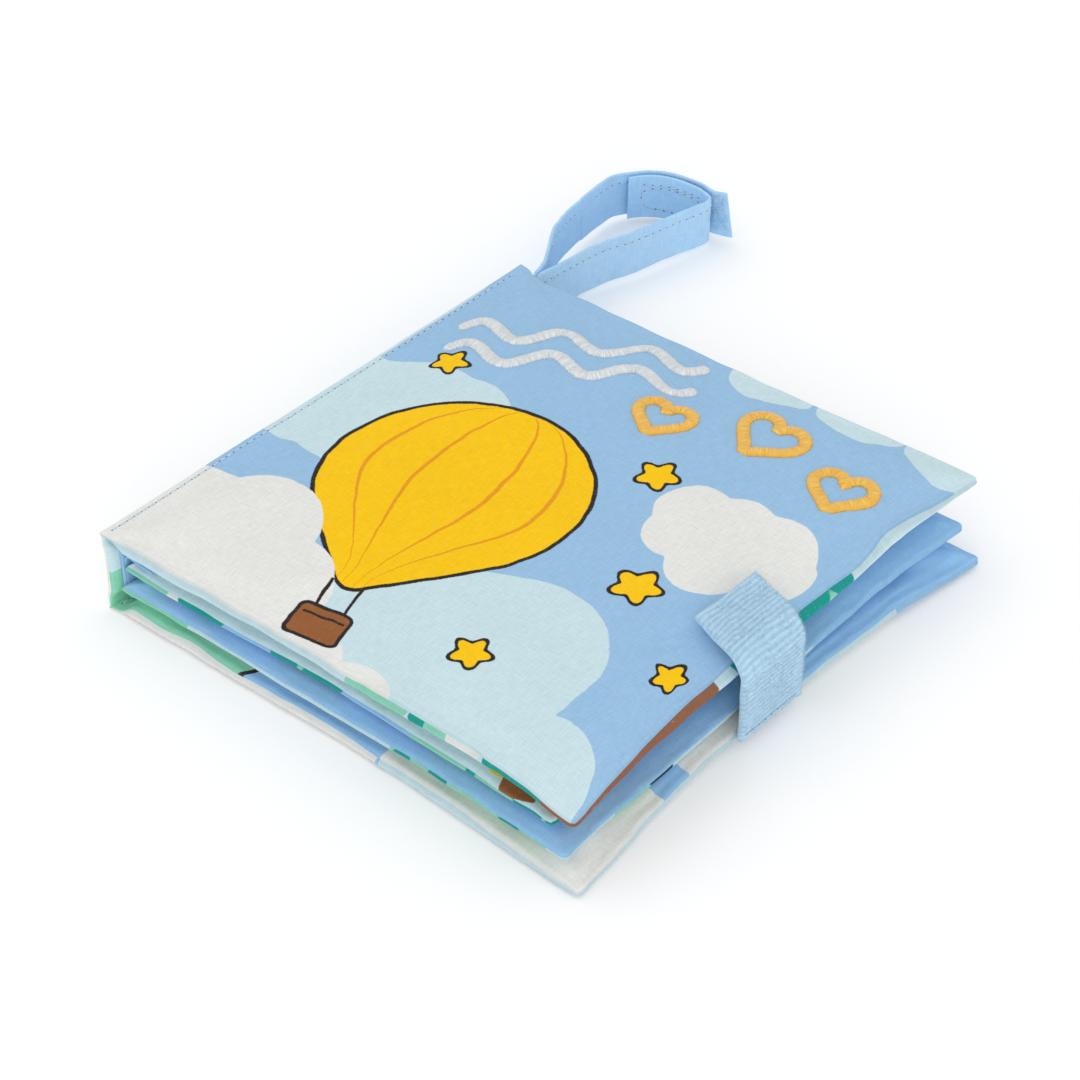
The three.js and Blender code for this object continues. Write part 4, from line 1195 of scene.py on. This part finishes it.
def strip(name, section, thickness, half_length, material, thin_edge=0.5):
    """Cloth strip that runs along Y, with a section of middle points in X and Z."""
    run = run_of(section)
    fine = np.linspace(0, run[-1], max(8, int(run[-1] / STRIP_SPACING)))
    path = at_run(section, run, fine)
    for _ in range(6):
        path[1:-1] = (path[:-2] + 2 * path[1:-1] + path[2:]) / 4
    normal = left_of(path)
    ends = np.array([0, 0.2, 0.7, 1.6])
    length = 2 * half_length
    k, y = grid(np.arange(len(path)), close_at_ends(0, length, ends, np.linspace(4, length - 4, 40)))
    from_side = np.minimum(fine[k], fine[-1] - fine[k])
    rounding = rounded(np.minimum(y, length - y), thin_edge) * rounded(from_side, thin_edge)
    ripple = STRIP_RIPPLE * value_noise(y / 9, fine[k] / 5, 81)
    sides = []
    for side in (1, -1):
        at = path[k] + normal[k] * ((side * thickness / 2) * rounding + ripple * (rounding > 0))[..., None]
        sides.append(slipped(at[..., 0], y - half_length, at[..., 1]))
    return pillow(name, sides, np.stack([fine[k], y], -1), [material], inside_out=True)


gutter_cloth = cloth("gutter", plain_art(DEEP_SKY, AQUA, 0.06, 0.12))
gutter_depth = SPINE_CAVITY + 2 * CLOTH + SEAM_GAP + GUTTER_THICKNESS / 2
gutter_end = HALF_BOOK - 3
gutter_section = [spine_xz(up, gutter_depth) for up in (5.5, 9, 12.4, 16, 19.35)]
gutter = strip("page_gutter", gutter_section, GUTTER_THICKNESS, gutter_end, gutter_cloth)
attach(gutter, "spine", "printed_cotton", "page_gutter_cloth")
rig.sheet(gutter, flat=(0.0139, 2 * gutter_end * MM), held="folded", rests_on=["spine_pad"])
FOLIO = {
    "folio_upper": ("spine", "leaf_1", (-94.2, 16.5), (-88, 17), [
        (-93.7, 12.2), (-94.2, 15.2), (-94.5, 17.0), (-93.6, 17.9), (-92.0, 17.4), (-89.5, 16.95),
        (-85, 17.0), (-82, 17.05)]),
    "folio_lower": ("leaf_2", "spine", (-88, 6.2), (-92.2, 8.5), [
        (-93.6, 14), (-92.5, 9.5), (-92.1, 7.6), (-91.0, 6.5), (-89.4, 6.2), (-87.6, 6.05)]),
}
for name, (first, second, start, end, section) in FOLIO.items():
    folio = strip(name, section, CLOTH, gutter_end - 1, gutter_cloth, 0.3)
    width = run_of(section)[-1]
    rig.slot(folio, "printed_cotton")
    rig.sheet(folio, flat=(width * MM, 2 * (gutter_end - 1) * MM), held="folded", rests_on=["page_gutter"])
    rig.blend(folio, first, second, *((x * MM, 0, z * MM) for x, z in (start, end)))


# The closure tab: one strip of ribbed pile that bends over the fore-edge
TAB_WIDTH = 29.5
TAB_Y = -5.7
TAB_SKEW = 7.6
TAB_THICK = 2.7
TAB_BEND = 6.5
FLAP_LENGTH = 24
RIB_PITCH = 1.75
RIB_DEPTH = 0.24
HAIR_HALF_WIDTH = 0.055


def closure_tab():
    riser_low, riser_high = (np.array(v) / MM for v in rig.box("tab_riser_pile_cloth"))
    flap_low, flap_high = (np.array(v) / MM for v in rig.box("tab_flap_pile_cloth"))
    x_out, top, x_end, low = riser_high[0], flap_high[2], flap_low[0], riser_low[2]
    mid = TAB_THICK / 2
    bend_x, bend_z = x_out - mid - TAB_BEND, top - mid - TAB_BEND
    arc = [(bend_x + TAB_BEND * cos(t), bend_z + TAB_BEND * sin(t))
           for t in np.linspace(0, pi / 2, 16)]
    route = [(x_out - mid, low), (x_out - mid, low + 6), *arc, (x_end + 12, top - mid), (x_end, top - mid)]
    run = run_of(route)
    total = run[-1]
    ends = np.array([0, 0.15, 0.5, 1.0])
    fine = close_at_ends(0, total, ends, np.arange(1.5, total - 1.5, 0.3))
    path = at_run(route, run, fine)
    normal = -left_of(path, fine)
    rows = np.array([0, 0.1, 0.35, 0.8, 1.4, 2.4])
    k, w = grid(np.arange(len(fine)),
                close_at_ends(0, TAB_WIDTH, rows, np.linspace(3.6, TAB_WIDTH - 3.6, 24)))
    s = fine[k]
    rounding = rounded(np.minimum(w, TAB_WIDTH - w), 1.3) * rounded(total - s, 1.3) * rounded(s, 0.8)
    wander = 0.5 * value_noise(w / 8, s / 6, 91) + 0.2 * value_noise(w / 2.5, s / 3, 93)
    rib = 0.5 + 0.5 * np.cos(2 * np.pi * (s + wander) / RIB_PITCH)
    fuzz = value_noise(s / 0.5, w / 0.8, 92) * 0.12
    share = np.clip((x_out - TAB_THICK - path[k][..., 0]) / FLAP_LENGTH, 0, 1)
    uneven = 0.35 * value_noise(s / 6, 0 * s, 94) * (np.abs(w / TAB_WIDTH - 0.5) * 2) ** 4
    skewed = TAB_Y - TAB_WIDTH / 2 + w + TAB_SKEW * share + uneven
    # The flap's near corner curls up a little
    curl = 0.9 * smoothstep(s, total - 14, total) * smoothstep(-w, -TAB_WIDTH * 0.45, 0)
    sides = []
    for side, relief in ((1, RIB_DEPTH * (rib - 1) + fuzz), (-1, 0)):
        at = path[k] + normal[k] * ((side * mid + relief) * rounding)[..., None]
        sides.append(np.stack([at[..., 0], skewed, at[..., 1] + curl], -1))
    places = np.stack([s, w], -1)
    pile = ribbed_pile()
    piece = pillow("closure_tab", sides, places, [pile], (rib, np.ones_like(rib)), inside_out=True)
    hairs = fuzz_piece("tab_fuzz", sides[0], places, pile, 9000, 1.15, 6)
    stitch_y = np.linspace(TAB_Y - TAB_WIDTH / 2 + 2, TAB_Y + TAB_WIDTH / 2 - 2, 40)
    seam_line = np.stack([0 * stitch_y + x_out - 0.1, stitch_y, 0 * stitch_y + low + 2.2], -1)
    outwards = np.tile([1.0, 0, 0], (len(stitch_y), 1))
    tacks = stitches("tab_seam_stitches", [(seam_line, outwards)], 2.4, 0.6, 0.6, True)
    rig.replaces(piece, "tab_riser_pile_cloth", "tab_riser_lining", "tab_flap_pile_cloth", "tab_flap_lining")
    start, end = (x_out - mid, TAB_Y, bend_z - 1), (bend_x - 1, TAB_Y, top - mid)
    for part in (piece, hairs):
        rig.slot(part, "ribbed_pile")
        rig.blend(part, "tab_riser", "tab_flap", [v * MM for v in start], [v * MM for v in end])
    attach(tacks, "tab_riser", "ribbed_pile")
    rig.sheet(piece, flat=(TAB_WIDTH * MM, total * MM), held="folded", rests_on=["front_cover_pad"],
             with_pieces=[hairs, tacks])


def fuzz_piece(name, surface, places, material, count, length, seed):
    """Short fibres that stand up all over a grid of points, each a thin three-sided spike."""
    random = np.random.default_rng(seed)
    outwards = unit(np.cross(np.gradient(surface, axis=1), np.gradient(surface, axis=0)))
    rows, columns = surface.shape[:2]
    i = random.uniform(1, rows - 2, count)
    j = np.clip(random.normal(0.5, 0.36, count) % 1, 0, 1) * (columns - 3) + 1
    a, b = i.astype(int), j.astype(int)
    s, t = (i - a)[:, None], (j - b)[:, None]
    row = lambda g, b: g[a, b] * (1 - s) + g[a + 1, b] * s
    at = lambda g: row(g, b) * (1 - t) + row(g, b + 1) * t
    root, out, place = at(surface), unit(at(outwards)), at(places)
    lean = random.normal(0, 0.75, (count, 3))
    tip = root + unit(out + lean) * (length * random.uniform(0.45, 1.0, count))[:, None] + out * 0.1
    first = unit(np.cross(out, random.normal(0, 1, (count, 3)))) * HAIR_HALF_WIDTH
    second = np.cross(out, first)
    corners = [root - out * 0.1 + first * cos(q) + second * sin(q) for q in THREE_SIDES]
    base = 4 * np.arange(count)[:, None]
    faces = np.concatenate([base + f for f in ([0, 1, 3], [1, 2, 3], [2, 0, 3], [0, 2, 1])])
    points = np.stack([*corners, tip], 1).reshape(-1, 3)
    return make_piece(name, points, faces, [material], np.repeat(place, 4, axis=0))


closure_tab()


# The carry strap: ribbons on the same routes as the solids, in plan
STRAP_WIDTH = 18
STRAP_THICK = 1.1
STRAP_MID_Z = 11.2
STRAP_GATHER = 4
HEM_THICKER = 0.18
LAYERS_PRESSED = 0.12
PATCH_THICK = 0.5
STRAP_BASE_Y = HALF_BOOK + COVER_SLIP_Y * STRAP_MID_Z / SPINE_HEIGHT
POCKET = CLOTH + SEAM_GAP + STRAP_THICK / 2
OUTER_BASE_X = spine_xz(STRAP_MID_Z / cos(LEAN) - POCKET * tan(LEAN), POCKET)[0]
INNER_BASE_X = OUTER_BASE_X + (STRAP_THICK + SEAM_GAP) / cos(LEAN)
INNER_ROUTE = [
    (0, 6), (0.2, 20), (2, 36), (6, 49), (9, 63.4), (11.6, 75), (13, 81), (12.4, 84), (9, 85.6),
    (1, 86), (-7.5, 84.2), (-13.8, 80), (-17.7, 74.4),
]
OUTER_ROUTE = [
    (-1.5, 6), (-4.5, 13), (-10.5, 22), (-16.5, 32), (-20, 44), (-21.6, 54), (-22.8, 65), (-22.6, 72),
]
FREE_END = [(16, 90.2), (20.5, 92)]
FREE_END_SHORTER = 2.5
SPLIT = 66.0
STRAP_HINGE = (88.0, 96.0)
HOOK_FROM_END = 18
LOOP_FROM_END = 28
PATCH_STITCHES = 13
HEM_STITCHES_AT = 0.56


def centripetal(points, count=900):
    """Even points on the centripetal spline through the points, and their distances along it."""
    points = np.array(points, float)
    points = np.concatenate([[2 * points[0] - points[1]], points, [2 * points[-1] - points[-2]]])
    out = []
    for k in range(1, len(points) - 2):
        p = points[k - 1:k + 3]
        d = np.maximum(np.linalg.norm(np.diff(p, axis=0), axis=1) ** 0.5, 1e-4)
        t1 = ((p[1] - p[0]) / d[0] - (p[2] - p[0]) / (d[0] + d[1]) + (p[2] - p[1]) / d[1]) * d[1]
        t2 = ((p[2] - p[1]) / d[1] - (p[3] - p[1]) / (d[1] + d[2]) + (p[3] - p[2]) / d[2]) * d[1]
        t = np.linspace(0, 1, 40, endpoint=k == len(points) - 3)[:, None]
        c2 = -3 * p[1] + 3 * p[2] - 2 * t1 - t2
        c3 = 2 * p[1] - 2 * p[2] + t1 + t2
        out.append(p[1] + t1 * t + c2 * t ** 2 + c3 * t ** 3)
    dense = np.concatenate(out)
    run = run_of(dense)
    even = np.linspace(0, run[-1], count)
    return at_run(dense, run, even), even


class Route:
    """A strand's way in plan: out of its tail in the spine, then through its points."""

    def __init__(self, base_x, points):
        tail = [(base_x, STRAP_BASE_Y - 9), (base_x, STRAP_BASE_Y + 1)]
        self.path, self.run = centripetal(tail + points)
        self.length = self.run[-1]
        self.outwards = -left_of(self.path, self.run)

    def beside(self, distance, out):
        """Point in plan at a distance along the route, moved out of the loop."""
        place, outwards = (at_run(line, self.run, distance) for line in (self.path, self.outwards))
        return place + outwards * np.asarray(out)[..., None]


def plan_points(route):
    return [(INNER_BASE_X + x, STRAP_BASE_Y + y) for x, y in route]


inner_route = Route(INNER_BASE_X, plan_points(INNER_ROUTE))
between_strands = 2 * (STRAP_THICK / 2 + SEAM_GAP + PATCH_THICK / 2) + PATCH_THICK + SEAM_GAP
closing = [tuple(inner_route.beside(inner_route.length - d, between_strands)) for d in range(4, 33, 4)]
outer_route = Route(OUTER_BASE_X, plan_points(OUTER_ROUTE) + closing + plan_points(FREE_END))


@dataclass
class Ribbon:
    """A stretch of the strap: two folded layers, thicker along the hems, with gentle ripples."""

    route: Route
    start: float
    end: float
    seed: int
    lean: float = 0.0

    def at(self, s, h, side, rounding=1.0, proud=0.0):
        """Point at a distance along the strap and a share h of its half width, on one side.

        The strap stands on edge: it leans with the spine where it leaves it, and spreads out.
        """
        hem = HEM_THICKER * smoothstep(np.abs(h), 0.5, 0.62)
        ripple = 0.22 * value_noise(s / 7, h * 2.2 + 5, self.seed)
        ripple = ripple + 0.14 * value_noise(s / 2.6, h * 3, self.seed + 1) * np.abs(h)
        loose = smoothstep(s, self.start + 6, self.start + 16)
        wavy = 0.07 * value_noise(s / 11, 0 * s, self.seed + 2) * loose
        thick = STRAP_THICK / 2 - LAYERS_PRESSED + hem + proud
        out = side * thick * rounding + ripple * loose * (rounding > 0)
        falls_back = self.lean * smoothstep(s, self.end - 9, self.end)
        plan = self.route.beside(s - falls_back * (h + 1) / 2, out)
        from_base = plan[..., 1] - STRAP_BASE_Y
        z = h * (1 + wavy * (h < 0)) * (STRAP_WIDTH / 2 - (1 - smoothstep(from_base, 2, 7)) * STRAP_GATHER)
        x = plan[..., 0] - z * tan(LEAN) * (1 - smoothstep(from_base, 0, 22))
        return np.stack([x, plan[..., 1], STRAP_MID_Z + z], -1)

    def build(self, name, round_end=True):
        ends = np.array([0, 0.1, 0.3, 0.6])
        edge = np.array([0, 0.012, 0.04, 0.09, 0.16])
        s, h = grid(
            close_at_ends(self.start, self.end, ends, np.arange(self.start + 1.2, self.end - 1.2, 1.0)),
            close_at_ends(-1, 1, edge, np.linspace(-0.72, 0.72, 12)))
        rounding = rounded((1 - np.abs(h)) * STRAP_WIDTH, 1.2) * (s > self.start)
        rounding = rounding * (rounded(self.end - s, 0.6) if round_end else s < self.end)
        sides = [self.at(s, h, side, rounding) for side in (1, -1)]
        return pillow(name, sides, np.stack([s, h * STRAP_WIDTH / 2], -1), [strap_cloth])

    def line(self, s, h, side):
        """A line on one face for stitches, and the directions out of the cloth."""
        on, off = self.at(s, h, side), self.at(s, h, side, proud=0.2)
        return on, unit(off - on)

    def stitched(self, name, *patch_lines):
        """Stitches along the upper hem on both faces, and along other lines."""
        s = np.arange(self.start + 9, self.end - 1.2, 0.8)
        lines = [self.line(s, HEM_STITCHES_AT + 0 * s, side) for side in (1, -1)]
        return stitches(name, lines + list(patch_lines), askew=True)


def oval(middle, half_length, half_height):
    """Stitched outline of a tape patch: places along the strap and shares of its half width."""
    t = np.linspace(0, 2 * pi, 90)
    c, s = np.cos(t), np.sin(t)
    return middle + half_length * np.sign(c) * np.abs(c) ** 0.6, half_height * np.sign(s) * np.abs(s) ** 0.6


strap_art = plain_art(tint(180, 219, 250), tint(164, 208, 247), 0.2, 0.25)
strap_cloth = cloth("strap_cotton", strap_art, weave=0.36, slub=0.6)
inner_ribbon = Ribbon(inner_route, 2, inner_route.length, 11)
outer_ribbon = Ribbon(outer_route, 2, SPLIT, 21)
closing_ribbon = Ribbon(outer_route, SPLIT, outer_route.length - FREE_END_SHORTER, 21, 3.0)
inner = inner_ribbon.build("strap_inner")
outer = outer_ribbon.build("strap_outer", round_end=False)
closing_end = closing_ribbon.build("strap_closing")
hook_middle = inner_route.length - HOOK_FROM_END
hook_s, hook_h = oval(hook_middle, PATCH_STITCHES, 0.52)
loop_s, loop_h = oval(outer_route.length - LOOP_FROM_END, PATCH_STITCHES, 0.6)
inner_stitches = inner_ribbon.stitched("strap_inner_stitches", inner_ribbon.line(hook_s, hook_h - 0.1, -1))
outer_stitches = outer_ribbon.stitched("strap_outer_stitches")
closing_stitches = closing_ribbon.stitched("strap_closing_stitches", closing_ribbon.line(loop_s, loop_h, 1))
pile_s, pile_h = grid(np.arange(outer_route.length - 40, closing_ribbon.end - 0.6, 0.8),
                      np.linspace(1.02, -0.8, 16))
strap_pile = thread("strap_pile", tint(170, 212, 240), tint(112, 166, 206), 0.9, (2.0, 2.0, 1))
closing_fuzz = fuzz_piece("strap_closing_fuzz", closing_ribbon.at(pile_s, pile_h, 1)[:, ::-1],
                          np.stack([pile_s, pile_h * 9], -1)[:, ::-1], strap_pile, 4200, 1.4, 8)
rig.replaces(inner, "strap_inner_strand", "strap_inner_tail")
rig.replaces(outer, "strap_outer_strand", "strap_outer_tail")
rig.replaces(closing_end, "strap_outer_end")
for piece in (inner, outer, inner_stitches, outer_stitches):
    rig.slot(piece, "strap_cotton")
    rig.blend(piece, "spine", "strap", [-0.0963, STRAP_BASE_Y * MM + 0.0005, 0.0112],
             [-0.0963, STRAP_BASE_Y * MM + 0.0075, 0.0112])
hinge_start, hinge_end = outer_route.beside(np.array(STRAP_HINGE), 0.0)
for piece in (closing_end, closing_stitches, closing_fuzz):
    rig.slot(piece, "strap_cotton")
    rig.blend(piece, "strap", "strap_end", [hinge_start[0] * MM, hinge_start[1] * MM, 0.0112],
             [hinge_end[0] * MM, hinge_end[1] * MM, 0.0112])


# Hook and loop tape
LOOP_RADIUS = 0.35
LOOP_THREAD = 0.07


def tape_piece(node, body, slot, material, towards, count, seed):
    """A patch of tape: a woven ground, and small bent threads all over the side that grips."""
    source = frame["nodes"][node].data
    points = np.array([v.co for v in source.vertices]) / MM
    faces = [list(p.vertices) for p in source.polygons]
    corners = points[[[f[0], f[k], f[k + 1]] for f in faces for k in range(1, len(f) - 1)]]
    first, second = corners[:, 1] - corners[:, 0], corners[:, 2] - corners[:, 0]
    cross = np.cross(first, second)
    gripping = np.flatnonzero(unit(cross) @ np.array(towards) > 0.6)
    area = np.linalg.norm(cross[gripping], axis=1)
    random = np.random.default_rng(seed)
    chosen = gripping[random.choice(len(area), count, p=area / area.sum())]
    a, b = random.uniform(0, 1, (2, count, 1))
    a, b = np.where(a + b > 1, 1 - a, a), np.where(a + b > 1, 1 - b, b)
    root = corners[chosen, 0] + a * first[chosen] + b * second[chosen]
    out = unit(cross[chosen])
    aside = unit(np.cross(out, random.normal(0, 1, (count, 3))))
    beside = np.cross(out, aside)[:, None]
    c, s = (turn(np.linspace(0, pi, 5))[None, :, None] for turn in (np.cos, np.sin))
    middle = root[:, None] + LOOP_RADIUS * (aside[:, None] * c + out[:, None] * (0.7 * s - 0.15))
    turned = aside[:, None] * c + out[:, None] * s
    rings = np.stack([middle + LOOP_THREAD * (turned * cos(q) + beside * sin(q))
                      for q in THREE_SIDES], 2)
    sections = np.broadcast_to(root[:, None, None, :2], (count, 5, 3, 2))
    threads = tubes(node + "_threads", rings, [material], sections)
    ground = make_piece(node + "_ground", points, faces, [material], points[:, :2], askew=False)
    attach(ground, body, slot, node)
    attach(threads, body, slot)


hooks = tape("hook_tape", tint(226, 232, 236), 1600)
loops = tape("loop_tape", tint(170, 202, 226), 1100)
towards_loop = np.append(inner_route.beside(hook_middle, 1) - inner_route.beside(hook_middle, 0), 0)
for row in (("tab_hook_patch", "tab_flap", "hook_tape", hooks, (0, 0, -1), 420, 41),
            ("front_cover_loop_patch", "front_cover", "loop_tape", loops, (0, 0, 1), 520, 42),
            ("strap_hook_patch", "strap", "hook_tape", hooks, towards_loop, 300, 43),
            ("strap_loop_patch", "strap_end", "loop_tape", loops, -towards_loop, 380, 44)):
    tape_piece(*row)


# Floor and lights
FLOOR_REACH = 3.0
FLOOR_DROP = 0.0001
FLOOR_GLOW = 0.10
AMBIENT = 0.84


def floor():
    net = material_net("floor")
    grain = net.noise(net.add("TexCoord", output="Object"), 3.0)
    colour = net.tinge(tint(254, 254, 254), tint(252, 253, 254), grain, 0.3, 0.7)
    diffuse = net.add("BsdfDiffuse", {"Color": colour})
    seen = net.add("LightPath", output="Is Camera Ray")
    glow = net.add("Emission", {"Color": (1, 1, 1, 1), "Strength": seen * FLOOR_GLOW})
    net.add("OutputMaterial", {"Surface": net.add("AddShader", {0: diffuse, 1: glow})})
    corners = [(x * FLOOR_REACH, y * FLOOR_REACH, 0) for x, y in ((-1, -1), (1, -1), (1, 1), (-1, 1))]
    mesh = bpy.data.meshes.new("floor")
    mesh.from_pydata(corners, [], [(0, 1, 2, 3)])
    mesh.materials.append(net.owner)
    plane = put_in_scene("floor", mesh)
    plane.location.z = -FLOOR_DROP
    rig.stage(plane)


def world_light():
    """White surroundings, a little dimmer as light than they look to the camera and in reflections."""
    world = bpy.data.worlds.new("world")
    bpy.context.scene.world = world
    net = Net(world)
    rays = [net.add("LightPath", output=f"Is {kind} Ray") for kind in ("Camera", "Glossy")]
    inputs = {"Value": net.math("MAXIMUM", *rays), "To Min": AMBIENT, "To Max": 1.0}
    strength = net.add("MapRange", inputs)
    background = net.add("Background", {"Color": (1, 1, 1, 1), "Strength": strength})
    net.add("OutputWorld", {"Surface": background})


def lamp(name, direction, distance, size, power):
    data = bpy.data.lights.new(name, "AREA")
    data.shape = "DISK"
    data.size = size
    data.energy = power
    light = put_in_scene(name, data)
    light.location = Vector(direction).normalized() * distance
    light.rotation_euler = light.location.to_track_quat("Z", "Y").to_euler()


floor()
world_light()
lamp("soft_box", (-0.9, -0.1, 1.25), 1.9, 1.3, 2.6)
lamp("fill", (0.95, -0.85, 0.4), 2.0, 1.6, 9)

low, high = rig.bounds()
with open("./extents.json", "w") as file:
    json.dump({"cad": [list(v) for v in cad_box], "visual": [list(low), list(high)]}, file)
